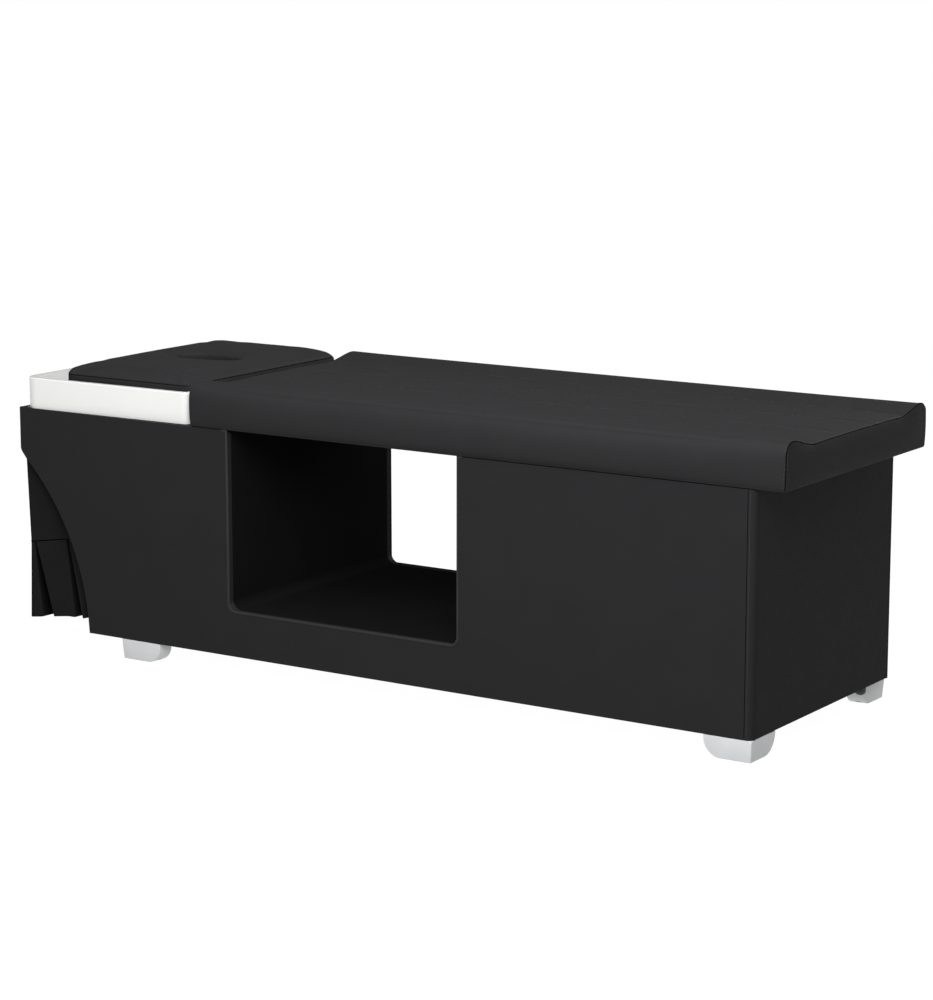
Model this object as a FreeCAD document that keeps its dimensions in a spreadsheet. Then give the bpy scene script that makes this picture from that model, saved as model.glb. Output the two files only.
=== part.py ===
import FreeCAD, Part
import math
import os
from types import SimpleNamespace

import Sketcher
from FreeCAD import Placement, Rotation, Vector

# Hair washing bed: an upholstered box base with a tunnel through it, a mattress, a deep white basin
# at the head end under a lift-out head cushion, and a pleated curtain in front of the plumbing.
# The origin is on the floor under the middle of the whole bed. The foot end points along +X, the
# head end along -X, the near long side along -Y, and +Z is up. All lengths are in millimetres.

SIZES = {
    # The whole bed and its base
    "base_width": 680,
    "base_height": 596,
    "base_clearance": 50,
    "board": 15,
    "cover": 3,
    "base_corner_radius": 11,
    # The tunnel through the base
    "neck_pod_length": 112,
    "tunnel_width": 652,
    "tunnel_sill": 110,
    "tunnel_radius": 25,
    "tunnel_lip_radius": 8,
    # The leg room cut out of both side panels under the basin
    "apron_height": 93,
    "knee_start_in": 24,
    "knee_start_down": 29,
    "pod_setback": 217,
    "knee_end_in": 3,
    "knee_end_up": 39,
    "knee_radius": 610,
    "toe_rail_height": 60,
    # Framing inside the pods
    "post": 30,
    "rail_depth": 40,
    "rail_width": 32,
    "bulkhead_gap": 5,
    # The mattress
    "mattress_length": 1589,
    "mattress_overhang": 70,
    "mattress_side_overhang": 5,
    "mattress_height": 107,
    "mattress_bulge": 5,
    "mattress_edge": 6,
    "mattress_board": 12,
    "mattress_board_in": 10,
    "bolster_in": 23,
    "bolster_shoulder": 22,
    "bolster_fall": 3,
    "valley_in": 122,
    "valley_drop": 16,
    "mattress_crown": 2,
    "end_dip": 7,
    "end_dip_length": 70,
    "channel_spacing": 150,
    "channel_radius": 14,
    "channel_depth": 2.5,
    "channel_end": 50,
    "bolt_radius": 4,
    "bolt_head_radius": 10,
    "bolt_head_height": 5,
    "bolt_bite": 8,
    "bolt_edge_in": 88,
    # The basin
    "basin_length": 512,
    "basin_gap": 16,
    "basin_ledge": 13,
    "basin_side_in_head": 7,
    "basin_side_in_foot": 17,
    "basin_corner_head": 40,
    "basin_corner_foot": 22,
    "basin_rise": 76,
    "basin_wall": 14,
    "basin_shell": 6,
    "basin_rim_radius": 3,
    "deck_depth": 60,
    "bowl_depth": 156,
    "bowl_corner": 88,
    "bowl_ledge_head": 23,
    "bowl_ledge_foot": 34,
    "bowl_ledge_side": 35,
    "bowl_floor_length": 115,
    "bowl_floor_width": 320,
    "bowl_floor_corner": 55,
    "neck_radius": 150,
    "neck_lift": 2,
    "neck_pad": 6,
    "neck_pad_flange": 20,
    "neck_pad_lip": 4,
    # Waste fittings
    "drain_shift": 30,
    "drain_hole_radius": 23.5,
    "drain_tail_radius": 23,
    "drain_bore_radius": 18.5,
    "drain_flange_radius": 33,
    "drain_flange_height": 3,
    "drain_tail_length": 40,
    "strainer_radius": 18,
    "strainer_seat": 2,
    "strainer_disc": 2,
    "strainer_hole_radius": 2,
    "strainer_ring_radius": 11,
    "strainer_knob_radius": 4,
    "strainer_knob_height": 9,
    "drain_gasket": 3,
    "drain_nut_height": 9,
    "drain_nut_radius": 33,
    "thread_gap": 0.1,
    "union_radius": 29,
    "union_height": 22,
    "union_floor": 4,
    "waste_radius": 16,
    "waste_wall": 2,
    "waste_collar_radius": 22,
    "waste_collar": 4,
    "trap_radius": 34,
    "trap_wall": 3,
    "trap_body_height": 72,
    "trap_body_drop": 28,
    "trap_cup_height": 58,
    "trap_outlet_drop": 34,
    "trap_outlet_radius": 20,
    "trap_outlet_reach": 60,
    "trap_elbow_radius": 25,
    "trap_elbow_gap": 21,
    "trap_elbow_reach": 6,
    "waste_hole_radius": 32,
    "trap_dip": 30,
    "trap_spigot": 9,
    # The mixer and the pull-out spray on the head deck
    "tap_clearance": 19,
    "tap_spacing": 140,
    "mixer_hole_radius": 17.5,
    "mixer_shank_radius": 17,
    "mixer_shank_length": 52,
    "mixer_base_radius": 26,
    "mixer_base_height": 5,
    "mixer_body_radius": 22,
    "mixer_body_height": 26,
    "mixer_wall": 3,
    "mixer_round": 3,
    "mixer_gap": 0.4,
    "dome_height": 9,
    "dome_radius": 21,
    "lever_length": 84,
    "lever_width": 20,
    "lever_tip_width": 14,
    "lever_thickness": 7,
    "lever_heel": 16,
    "deck_nut_radius": 26,
    "deck_nut_height": 8,
    "inlet_radius": 5,
    "inlet_length": 70,
    "inlet_spacing": 16,
    "socket_hole_radius": 18.5,
    "socket_radius": 18,
    "socket_bore_radius": 15.2,
    "socket_flange_radius": 24,
    "socket_flange_height": 4,
    "socket_length": 44,
    "spray_stem_radius": 15.1,
    "spray_stem_length": 36,
    "spray_collar_radius": 19,
    "spray_collar_height": 4,
    "spray_neck_radius": 12,
    "spray_neck_height": 12,
    "spray_head_radius": 27,
    "spray_head_height": 26,
    "spray_rim_height": 8,
    "spray_face_radius": 21,
    "spray_face_height": 2,
    "nozzle_radius": 1.6,
    "nozzle_height": 1.5,
    # The head cushion
    "cushion_gap_foot": 2,
    "cushion_gap_side": 4,
    "cushion_corner": 26,
    "cushion_board": 9,
    "cushion_board_in": 12,
    "cushion_seam_height": 75,
    "cushion_crown": 19,
    "cushion_crown_reach": 130,
    "cushion_pinch": 2,
    "face_hole_length": 195,
    "face_hole_width": 105,
    "face_hole_flare": 12,
    "face_hole_shift": 17,
    # The curtain
    "curtain_sheet": 1.5,
    "curtain_rail": 18,
    "curtain_rail_height": 24,
    "curtain_rail_in": 7,
    "curtain_top_gap": 2,
    "curtain_seam_height": 264,
    "curtain_hem_height": 73,
    "curtain_side_gap": 1.5,
    "curtain_leg_start": 132,
    "curtain_leg_end": 200,
    "curtain_leg_in": 25,
    "curtain_corner_in": 12,
    "hem_flare": 4,
    "hem_side_flare": 12,
    "seam_pleat_depth": 7,
    "hem_pleat_depth": 40,
    "head_pleat_pitch": 106,
    # Feet and the buffer
    "foot_web_x": 119,
    "foot_web_y": 111,
    "foot_thickness": 46,
    "foot_edge_radius": 38,
    "far_foot_inset": 12,
    "head_foot_inset": 103,
    "screw_radius": 3,
    "screw_head_radius": 7,
    "screw_head_height": 5,
    "counterbore_depth": 30,
    "drill_gap": 0.3,
    "buffer_radius": 13,
    "buffer_height": 17,
    "buffer_in": 14,
    "buffer_gap": 1,
    # Working clearances
    "soft_gap": 0.3,
    "overrun": 5,
}

PLANES = {"XY": "XY_Plane", "XZ": "XZ_Plane"}
TURN_TO_AXIS = {
    "X": Rotation(Vector(0, 1, 0), 90),
    "Y": Rotation(Vector(1, 0, 0), -90),
    "Z": Rotation(),
}
CLOSE = 1e-4
ROUND_ROOM_SHARE = 0.48


class Size:
    """A length from the sheet, or a sum worked out from some, with its value and its formula."""

    def __init__(self, value, formula):
        self.value = float(value)
        self.formula = formula

    def __float__(self):
        return self.value

    def __add__(self, other):
        return Size(self.value + float(other), f"({self.formula} + {formula_of(other)})")

    def __radd__(self, other):
        return Size(float(other) + self.value, f"({formula_of(other)} + {self.formula})")

    def __sub__(self, other):
        return Size(self.value - float(other), f"({self.formula} - {formula_of(other)})")

    def __rsub__(self, other):
        return Size(float(other) - self.value, f"({formula_of(other)} - {self.formula})")

    def __mul__(self, factor):
        return Size(self.value * float(factor), f"({self.formula} * {formula_of(factor)})")

    def __rmul__(self, factor):
        return self * factor

    def __truediv__(self, factor):
        return Size(self.value / float(factor), f"({self.formula} / {formula_of(factor)})")

    def __neg__(self):
        return Size(-self.value, f"(-1 * {self.formula})")


def formula_of(number):
    return number.formula if isinstance(number, Size) else f"({float(number)!r})"


def write_sheet(table):
    """Puts every driving size in the sheet under its alias, and gives them back as named sizes."""
    sheet = doc.addObject("Spreadsheet::Sheet", "sizes")
    for row, (alias, number) in enumerate(table.items(), 1):
        sheet.set(f"A{row}", alias)
        sheet.set(f"B{row}", str(number))
        sheet.setAlias(f"B{row}", alias)
    doc.recompute()
    return SimpleNamespace(**{alias: Size(number, f"sizes.{alias}") for alias, number in table.items()})


doc = FreeCAD.newDocument("hair_washing_bed")
size = write_sheet(SIZES)
pieces = []


# Small helpers for features, each bound to the sheet

def bind(thing, **links):
    """Binds each property to its formula. Double underscores stand for the dots of a path."""
    for name, value in links.items():
        thing.setExpression(name.replace("__", "."), formula_of(value))
    return thing


def locate(thing, x=0, y=0, z=0):
    return bind(thing, Placement__Base__x=x, Placement__Base__y=y, Placement__Base__z=z)


def keep(name, thing):
    """Marks a finished sub-part and gives it the label that names its file."""
    thing.Label = name
    pieces.append(thing)
    return thing


def block(name, x, y, z):
    """A box between a low and a high place on each axis."""
    box = doc.addObject("Part::Box", name)
    bind(box, Length=x[1] - x[0], Width=y[1] - y[0], Height=z[1] - z[0])
    return locate(box, x[0], y[0], z[0])


def rod(name, radius, length, x=0, y=0, z=0, axis="Z"):
    """A round bar that starts at a place and runs along an axis."""
    bar = doc.addObject("Part::Cylinder", name)
    bind(bar, Radius=radius, Height=length)
    bar.Placement = Placement(Vector(), TURN_TO_AXIS[axis])
    return locate(bar, x, y, z)


def ball(name, radius, x, y, z):
    return locate(bind(doc.addObject("Part::Sphere", name), Radius=radius), x, y, z)


def join(name, things, kind="Part::MultiFuse"):
    group = doc.addObject(kind, name)
    if kind == "Part::Compound":
        group.Links = things
    else:
        group.Shapes = things
    return group


def cut(name, base, tools):
    tool = tools[0] if len(tools) == 1 else join(name + "_tools", tools)
    result = doc.addObject("Part::Cut", name)
    result.Base = base
    result.Tool = tool
    return result


def overlap(name, base, tool):
    result = doc.addObject("Part::Common", name)
    result.Base = base
    result.Tool = tool
    return result


def mirror(name, source):
    """The far side's twin of a near side piece, across the bed's middle."""
    twin = doc.addObject("Part::Mirroring", name)
    twin.Source = source
    twin.Normal = Vector(0, 1, 0)
    return twin


def edges_where(shape, wanted):
    """The numbers of a shape's straight edges whose two ends suit the test."""
    numbers = []
    for number, edge in enumerate(shape.Edges, 1):
        if len(edge.Vertexes) == 2 and isinstance(edge.Curve, Part.Line):
            a, b = (corner.Point for corner in edge.Vertexes)
            if wanted(a, b):
                numbers.append(number)
    return numbers


def soften(name, base, radius, wanted):
    """Rounds chosen edges of a primitive or a boolean."""
    doc.recompute()
    result = doc.addObject("Part::Fillet", name)
    result.Base = base
    value = float(radius)
    result.Edges = [(number, value, value) for number in edges_where(base.Shape, wanted)]
    return result


def round_body(body, name, radius, wanted):
    """Adds a rounding of chosen edges to a body, bound to its radius."""
    doc.recompute()
    last = body.Tip
    fillet = body.newObject("PartDesign::Fillet", name)
    fillet.Base = (last, [f"Edge{number}" for number in edges_where(last.Shape, wanted)])
    bind(fillet, Radius=radius)
    body.Tip = fillet
    return body


def arc_centre(a, b, radius):
    """The centre of an arc between two points, on the left of the way from a to b if radius > 0."""
    half = math.dist(a, b) / 2
    away = math.sqrt(max(radius**2 - half**2, 0)) * math.copysign(1, radius)
    middle = ((a[0] + b[0]) / 2, (a[1] + b[1]) / 2)
    left = (-(b[1] - a[1]) / (2 * half), (b[0] - a[0]) / (2 * half))
    return (middle[0] + left[0] * away, middle[1] + left[1] * away)


def sketch_on(body, name, plane, offset, corners, arcs=None):
    """A closed outline through corners, every corner placed by the sheet. arcs gives a radius to
    some of its sides, by the number of the corner that they start from: the centre lies on the
    left of the way round where the radius is positive."""
    arcs = arcs or {}
    sketch = body.newObject("Sketcher::SketchObject", name)
    origin_plane = next(f for f in body.Origin.OriginFeatures if f.Role == PLANES[plane])
    sketch.AttachmentSupport = (origin_plane, [""])
    sketch.MapMode = "FlatFace"
    bind(sketch, AttachmentOffset__Base__z=offset)
    flat = [(float(u), float(v)) for u, v in corners]
    count = len(flat)
    starts, ends = [], []
    for i, (a, b) in enumerate(zip(flat, flat[1:] + flat[:1])):
        if i in arcs:
            radius = float(arcs[i])
            centre = arc_centre(a, b, radius)
            first, last = (a, b) if radius > 0 else (b, a)
            turn = [math.atan2(p[1] - centre[1], p[0] - centre[0]) for p in (first, last)]
            circle = Part.Circle(Vector(*centre, 0), Vector(0, 0, 1), abs(radius))
            sketch.addGeometry(Part.ArcOfCircle(circle, *turn), False)
            starts.append((i, 1 if radius > 0 else 2))
            ends.append((i, 2 if radius > 0 else 1))
        else:
            sketch.addGeometry(Part.LineSegment(Vector(*a, 0), Vector(*b, 0)), False)
            starts.append((i, 1))
            ends.append((i, 2))
    for i in range(count):
        sketch.addConstraint(Sketcher.Constraint("Coincident", *ends[i], *starts[(i + 1) % count]))
    for i, corner in enumerate(corners):
        for kind, place in zip(("DistanceX", "DistanceY"), corner):
            rule = Sketcher.Constraint(kind, -1, 1, *starts[i], float(place))
            number = sketch.addConstraint(rule)
            sketch.setExpression(f"Constraints[{number}]", formula_of(place))
    for i, radius in arcs.items():
        number = sketch.addConstraint(Sketcher.Constraint("Radius", i, abs(float(radius))))
        outward = radius if float(radius) > 0 else -radius
        sketch.setExpression(f"Constraints[{number}]", formula_of(outward))
    return sketch


def padded_outline(name, plane, offset, corners, depth, arcs=None):
    """A body padded from one outline."""
    body = doc.addObject("PartDesign::Body", name)
    pad = body.newObject("PartDesign::Pad", name + "_pad")
    pad.Profile = sketch_on(body, name + "_outline", plane, offset, corners, arcs)
    bind(pad, Length=depth)
    body.Tip = pad
    return body


def turned(name, profile, x=0, y=0, z=0, arcs=None):
    """A body turned about an upright axis from an outline of (radius, height) corners."""
    body = doc.addObject("PartDesign::Body", name)
    sketch = sketch_on(body, name + "_outline", "XZ", 0, profile, arcs)
    turn = body.newObject("PartDesign::Revolution", name + "_turn")
    turn.Profile = sketch
    turn.ReferenceAxis = (sketch, ["V_Axis"])
    turn.Angle = 360
    body.Tip = turn
    return locate(body, x, y, z)


def ring(inner, outer, low, high):
    """The outline of a plain turned ring."""
    return [(inner, low), (outer, low), (outer, high), (inner, high)]


def rounded_wire(corners, radii, z):
    """A level closed wire through corners, each rounded by its radius with an arc, or by as much
    as its two sides leave room for."""
    points = [Vector(float(x), float(y), float(z)) for x, y in corners]
    edges = []
    joints = []
    for before, here, after, radius in zip(points[-1:] + points, points, points[1:] + points[:1], radii):
        room = min(before.distanceToPoint(here), after.distanceToPoint(here)) * ROUND_ROOM_SHARE
        back = (before - here).normalize()
        ahead = (after - here).normalize()
        half = back.getAngle(ahead) / 2
        run = min(float(radius) / math.tan(half), room)
        radius = run * math.tan(half)
        start, finish = here + back * run, here + ahead * run
        centre = here + (back + ahead).normalize() * (radius / math.sin(half))
        middle = centre + (here - centre).normalize() * radius
        joints.append((start, middle, finish))
    for (start, middle, finish), following in zip(joints, joints[1:] + joints[:1]):
        edges.append(Part.Arc(start, middle, finish).toShape())
        edges.append(Part.makeLine(finish, following[0]))
    return Part.Wire(edges)


def rectangle(x, y, inset=0):
    return [
        (x[0] + inset, y[0] + inset),
        (x[1] - inset, y[0] + inset),
        (x[1] - inset, y[1] - inset),
        (x[0] + inset, y[1] - inset),
    ]


def lofted(name, wires, ruled=True):
    """A form that only a loft through sections gives, such as a crowned cushion or a bowl."""
    feature = doc.addObject("Part::Feature", name)
    shape = Part.makeLoft(wires, True, ruled)
    feature.Shape = shape
    return feature


# Places that many pieces share, worked out from the driving sizes
overall_length = size.basin_ledge + size.basin_length + size.basin_gap + size.mattress_length
head_end = -overall_length / 2
bed_foot = overall_length / 2
foot_end = bed_foot - size.mattress_overhang
side = size.base_width / 2
top = size.base_height
under = size.base_clearance
core = size.cover + size.board
inside = side - core
basin_head = head_end + size.basin_ledge
basin_foot = basin_head + size.basin_length
mattress_head = bed_foot - size.mattress_length
mattress_half = side + size.mattress_side_overhang
tunnel_head = mattress_head + size.neck_pod_length
tunnel_foot = tunnel_head + size.tunnel_width
tunnel_floor = under + size.tunnel_sill
deck_low = top - size.board
rim_top = top + size.basin_rise
deck_top = rim_top - size.deck_depth
bulkhead_x = basin_foot - size.board - size.bulkhead_gap
board_low = under + size.cover
board_high = board_low + size.board
across = (-inside, inside)


# Side panels: plywood sheets with the tunnel notch and the curved leg room cut out of them
def side_outline(inset):
    """The outline of the long side, drawn in by inset from the leatherette's outer face."""
    knee_x = head_end + size.knee_start_in + inset
    knee_z = top - size.apron_height - size.knee_start_down
    return [
        (foot_end - inset, under + inset),
        (foot_end - inset, top - inset),
        (tunnel_foot + inset, top - inset),
        (tunnel_foot + inset, tunnel_floor - inset),
        (tunnel_head - inset, tunnel_floor - inset),
        (tunnel_head - inset, top - inset),
        (head_end + inset, top - inset),
        (head_end + inset, apron_low - size.cover + inset),
        (knee_x, knee_z - size.cover + inset),
        (head_end + size.pod_setback - size.knee_end_in + inset, under + inset + size.knee_end_up),
        (head_end + size.pod_setback + inset, under + inset),
    ]


def side_form(name, inset, depth):
    """The long side's outline made depth thick outwards from the panel's inner face, its tunnel
    corners and its upright outer corners rounded."""
    body = padded_outline(name, "XZ", inside, side_outline(inset), depth, {8: -size.knee_radius})
    wrap = size.cover - inset
    floor_z = float(tunnel_floor - inset)
    round_body(
        body, name + "_tunnel_corners", size.tunnel_radius + inset,
        lambda a, b: abs(a.x - b.x) < CLOSE and abs(a.z - floor_z) < CLOSE and abs(b.z - floor_z) < CLOSE,
    )
    lips = [float(tunnel_head - inset), float(tunnel_foot + inset)]
    top_z = float(top - inset)
    round_body(
        body, name + "_tunnel_lips", size.tunnel_lip_radius + wrap,
        lambda a, b: abs(a.z - top_z) < CLOSE and abs(b.z - top_z) < CLOSE
        and min(abs(a.x - x) for x in lips) < CLOSE and abs(a.x - b.x) < CLOSE,
    )
    outer_y = -float(inside + depth)
    ends = [float(head_end + inset), float(foot_end - inset)]
    round_body(
        body, name + "_outer_corners", size.base_corner_radius + wrap,
        lambda a, b: abs(a.y - outer_y) < CLOSE and abs(b.y - outer_y) < CLOSE
        and min(abs(a.x - x) for x in ends) < CLOSE and abs(a.x - b.x) < CLOSE,
    )
    return body


def side_cover(panel):
    """Leatherette on wadding, drawn over the panel and round all its edges."""
    return cut("cover_near", side_form("cover_near_form", 0, core), [panel])


apron_low = top - size.apron_height
panel_near = keep("side_panel_near", side_form("panel_near", size.cover, size.board))
cover_near = keep("side_cover_near", side_cover(panel_near))
keep("side_panel_far", mirror("panel_far", panel_near))
keep("side_cover_far", mirror("cover_far", cover_near))


# End boards and their covers: the foot end, full height, and the short apron under the basin rim
def end_board(name, x, low):
    return keep(name, block(name, x, across, (low, top - size.cover)))


def end_cover(name, board, x, low):
    wrap = block(name + "_wrap", x, across, (low, top))
    return keep(name, cut(name, wrap, [board]))


foot_board_x = (foot_end - core, foot_end - size.cover)
apron_board_x = (head_end + size.cover, head_end + core)
foot_board = end_board("foot_end_panel", foot_board_x, board_low)
end_cover("foot_end_cover", foot_board, (foot_board_x[0], foot_end), under)
apron_board = end_board("apron_board", apron_board_x, apron_low)
end_cover("apron_cover", apron_board, (head_end, apron_board_x[1]), apron_low - size.cover)


# The floor of the base, with a cloth stapled under it and a toe rail across its head end. Board and
# cloth are drilled for the waste hose further on, below the trap.
pod_head = head_end + size.pod_setback + size.cover
floor_x = (pod_head, foot_board_x[0])
base_board = block("base_board_blank", floor_x, across, (board_low, board_high))
bottom_cloth = block("bottom_cloth_blank", floor_x, across, (under, board_low))
toe_x = (pod_head, pod_head + size.board)
keep("toe_rail", block("toe_rail", toe_x, across, (board_high, board_high + size.toe_rail_height)))


# The tunnel: two walls and a floor, cove strips in the lower corners, and one smooth lining
wall_head_x = (tunnel_head - core, tunnel_head - size.cover)
wall_foot_x = (tunnel_foot + size.cover, tunnel_foot + core)
sill_z = (tunnel_floor - core, tunnel_floor - size.cover)
keep("tunnel_head_wall", block("tunnel_head_wall", wall_head_x, across, (board_high, deck_low)))
keep("tunnel_foot_wall", block("tunnel_foot_wall", wall_foot_x, across, (board_high, deck_low)))
keep("tunnel_floor", block("tunnel_floor", (wall_head_x[1], wall_foot_x[0]), across, sill_z))


def tunnel_strips():
    cove = size.tunnel_radius + size.cover
    strips = []
    for name, low, axis_x in (
        ("cove_head", wall_head_x[1], wall_head_x[1] + cove),
        ("cove_foot", wall_foot_x[0] - cove, wall_foot_x[0] - cove),
    ):
        corner = block(name + "_strip", (low, low + cove), across, (sill_z[1], sill_z[1] + cove))
        hollow = rod(name + "_hollow", cove, 2 * inside + 2 * size.overrun,
                     axis_x, -inside - size.overrun, sill_z[1] + cove, "Y")
        strips.append(cut(name, corner, [hollow]))
    return join("tunnel_coves", strips, "Part::Compound")


def lower_corners(low):
    z = float(low)
    return lambda a, b: abs(a.x - b.x) < CLOSE and abs(a.z - z) < CLOSE and abs(b.z - z) < CLOSE


def tunnel_skin():
    outer = block("lining_outer", (wall_head_x[1], wall_foot_x[0]), across, (sill_z[1], top))
    outer = soften("lining_outer_round", outer, size.tunnel_radius + size.cover, lower_corners(sill_z[1]))
    beyond = (-inside - size.overrun, inside + size.overrun)
    inner = block("lining_inner", (tunnel_head, tunnel_foot), beyond, (tunnel_floor, top + size.overrun))
    inner = soften("lining_inner_round", inner, size.tunnel_radius, lower_corners(tunnel_floor))
    return cut("lining", outer, [inner])


keep("tunnel_coves", tunnel_strips())
keep("tunnel_lining", tunnel_skin())


# Decks that carry the mattress, the bulkhead between the basin bay and the head pod, and posts
def bolt_places():
    """Bolts that hold the mattress board down: two rows on the foot deck and one on the neck deck."""
    y = inside - size.bolt_edge_in
    stations = (
        tunnel_foot + size.bolt_edge_in,
        foot_end - size.bolt_edge_in,
        (mattress_head + size.mattress_board_in + tunnel_head) / 2,
    )
    return [(x, sign * y) for x in stations for sign in (-1, 1)]


def bolt_holes(name, z):
    gap = size.bolt_radius + size.drill_gap
    return [
        rod(f"{name}_{number}", gap, z[1] - z[0], x, y, z[0])
        for number, (x, y) in enumerate(bolt_places())
    ]


deck_z = (deck_low, top)
through_deck = (deck_low - size.overrun, top + size.mattress_board + size.overrun)
foot_deck = block("foot_deck_board", (tunnel_foot + size.cover, foot_board_x[0]), across, deck_z)
neck_deck = block("neck_deck_board", (bulkhead_x, tunnel_head - size.cover), across, deck_z)
keep("foot_pod_deck", cut("foot_pod_deck", foot_deck, bolt_holes("foot_deck_hole", through_deck)))
keep("neck_deck", cut("neck_deck", neck_deck, bolt_holes("neck_deck_hole", through_deck)))
bulkhead = block("bulkhead", (bulkhead_x, bulkhead_x + size.board), across, (board_high, deck_low))
keep("bulkhead", bulkhead)


def posts(name, inner_faces):
    """Glued corner posts. A face of -1 has its post on the head side, and +1 on the foot side."""
    bars = []
    for number, (x, way) in enumerate(inner_faces):
        for label, y in (("near", (-inside, size.post - inside)), ("far", (inside - size.post, inside))):
            span = (x, x + size.post) if way > 0 else (x - size.post, x)
            bars.append(block(f"{name}_{number}_{label}", span, y, (board_high, deck_low)))
    return keep(name, join(name, bars, "Part::Compound"))


posts("foot_pod_posts", [(wall_foot_x[1], 1), (foot_board_x[0], -1)])
posts("head_pod_posts", [(bulkhead_x + size.board, 1), (wall_head_x[0], -1)])


# Timber rails that carry the basin inside the side panels and behind the apron
def basin_rails():
    x = (apron_board_x[1] + size.rail_width, bulkhead_x)
    z = (top - size.rail_depth, top)
    near = block("basin_rail_near", x, (-inside, size.rail_width - inside), z)
    far = block("basin_rail_far", x, (inside - size.rail_width, inside), z)
    cross = block("basin_rail_head", (apron_board_x[1], x[0]), across, z)
    return join("basin_rails", [near, far, cross], "Part::Compound")


keep("basin_rails", basin_rails())


# The mattress: foam with raised side bolsters and sewn channels, on a plywood board
def mattress_wire(x, draw_in, dip):
    """The cross-section at x, drawn in by draw_in all round the top and sides, with its valley
    lowered by dip."""
    half = float(mattress_half) - draw_in
    low = float(top)
    high = low + float(size.mattress_height) - draw_in
    middle = (low + high) / 2
    bulge = half + float(size.mattress_bulge)
    peak_y = half - float(size.bolster_in)
    shoulder_y = peak_y - float(size.bolster_shoulder)
    shoulder_z = high - float(size.bolster_fall)
    valley_y = half + draw_in - float(size.valley_in)
    valley_z = high - float(size.valley_drop) - dip
    crown_z = valley_z + float(size.mattress_crown)
    edge_z = high - float(size.bolster_in) * EDGE_FALL_SHARE
    edge_y = half - float(size.bolster_in) * EDGE_IN_SHARE
    slope_y = (shoulder_y + valley_y) / 2
    slope_z = (shoulder_z + valley_z) / 2
    half_outline = [
        ((half, low), (bulge, middle), (half, edge_z)),
        ((half, edge_z), (edge_y, high - float(size.bolster_in) * EDGE_IN_SHARE), (peak_y, high)),
        ((peak_y, high), ((peak_y + shoulder_y) / 2, high - float(size.bolster_fall) / 4),
         (shoulder_y, shoulder_z)),
        ((shoulder_y, shoulder_z), ((shoulder_y + slope_y) / 2, (shoulder_z + slope_z) / 2 + float(
            size.bolster_fall) / 4), (slope_y, slope_z)),
        ((slope_y, slope_z), ((slope_y + valley_y) / 2, (slope_z + valley_z) / 2 - float(
            size.bolster_fall) / 4), (valley_y, valley_z)),
    ]
    edges = []
    for sign in (1, -1):
        for spans in half_outline if sign > 0 else half_outline[::-1]:
            ordered = spans if sign > 0 else spans[::-1]
            edges.append(Part.Arc(*(Vector(x, sign * y, z) for y, z in ordered)).toShape())
        if sign > 0:
            over = [(valley_y, valley_z), (0, crown_z), (-valley_y, valley_z)]
            edges.append(Part.Arc(*(Vector(x, y, z) for y, z in over)).toShape())
    edges.append(Part.makeLine(Vector(x, -half, low), Vector(x, half, low)))
    return Part.Wire(edges)


EDGE_FALL_SHARE = 0.5
EDGE_IN_SHARE = 0.22
ROUND_SHARES = ((0, 1), (0.3, 0.3), (1, 0))


def mattress_foam():
    edge = float(size.mattress_edge)
    low, high = float(mattress_head), float(bed_foot)
    dip = float(size.end_dip)
    stations = [(low + edge * along, edge * inward, 0) for along, inward in ROUND_SHARES]
    stations.append((high - float(size.end_dip_length), 0, 0))
    stations += [(high - edge * along, edge * inward, dip) for along, inward in ROUND_SHARES[::-1]]
    body = lofted("mattress_form", [mattress_wire(*station) for station in stations])
    board_x = (mattress_head + size.mattress_board_in, bed_foot - size.mattress_board_in)
    board_y = mattress_half - size.mattress_board_in
    board_z = (top, top + size.mattress_board)
    board = block("mattress_board_blank", board_x, (-board_y, board_y), board_z)
    drilled = cut("mattress_board", board, bolt_holes("mattress_hole", through_deck))
    valley_top = top + size.mattress_height - size.valley_drop
    channels = [
        rod(f"channel_{number}", size.channel_radius, size.mattress_length - size.channel_end,
            mattress_head - size.overrun, size.channel_spacing * place,
            valley_top + size.channel_radius - size.channel_depth + size.mattress_crown, "X")
        for number, place in enumerate((-1.5, -0.5, 0.5, 1.5))
    ]
    room = block("mattress_board_room", board_x, (-board_y, board_y), board_z)
    foam = cut("mattress_foam", body, channels + [room])
    return drilled, foam


mattress_board, mattress_pad = mattress_foam()
keep("mattress_board", mattress_board)
keep("mattress_pad", mattress_pad)


def mattress_bolts():
    bolts = []
    for number, (x, y) in enumerate(bolt_places()):
        low = deck_low - size.bolt_head_height
        shank = size.board + size.bolt_bite
        profile = [
            (0, low),
            (size.bolt_head_radius, low),
            (size.bolt_head_radius, deck_low),
            (size.bolt_radius, deck_low),
            (size.bolt_radius, deck_low + shank),
            (0, deck_low + shank),
        ]
        bolts.append(turned(f"mattress_bolt_{number}", profile, x, y))
    return join("mattress_bolts", bolts, "Part::Compound")


keep("mattress_bolts", mattress_bolts())


# The basin: one white moulding with a tall rim, a sunk deck and a deep bowl
inner_head = basin_head + size.basin_wall
inner_foot = basin_foot - size.basin_wall
tap_strip = 2 * (size.mixer_base_radius + size.tap_clearance)
cushion_head = inner_head + tap_strip
cushion_foot = inner_foot - size.cushion_gap_foot
cushion_half = side - size.basin_side_in_foot - size.basin_wall - size.cushion_gap_side
bowl_x = (cushion_head + size.bowl_ledge_head, cushion_foot - size.bowl_ledge_foot)
bowl_y = (size.bowl_ledge_side - cushion_half, cushion_half - size.bowl_ledge_side)
bowl_floor = deck_top - size.bowl_depth
drain_x = (bowl_x[0] + bowl_x[1]) / 2 - size.drain_shift
tap_x = (inner_head + cushion_head) / 2
mixer_y = size.tap_spacing / 2
spray_y = -size.tap_spacing / 2
BOWL_SHARES = ((0, 0), (0.3, 0.05), (0.6, 0.16), (0.82, 0.36), (0.94, 0.62), (1, 1))


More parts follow.
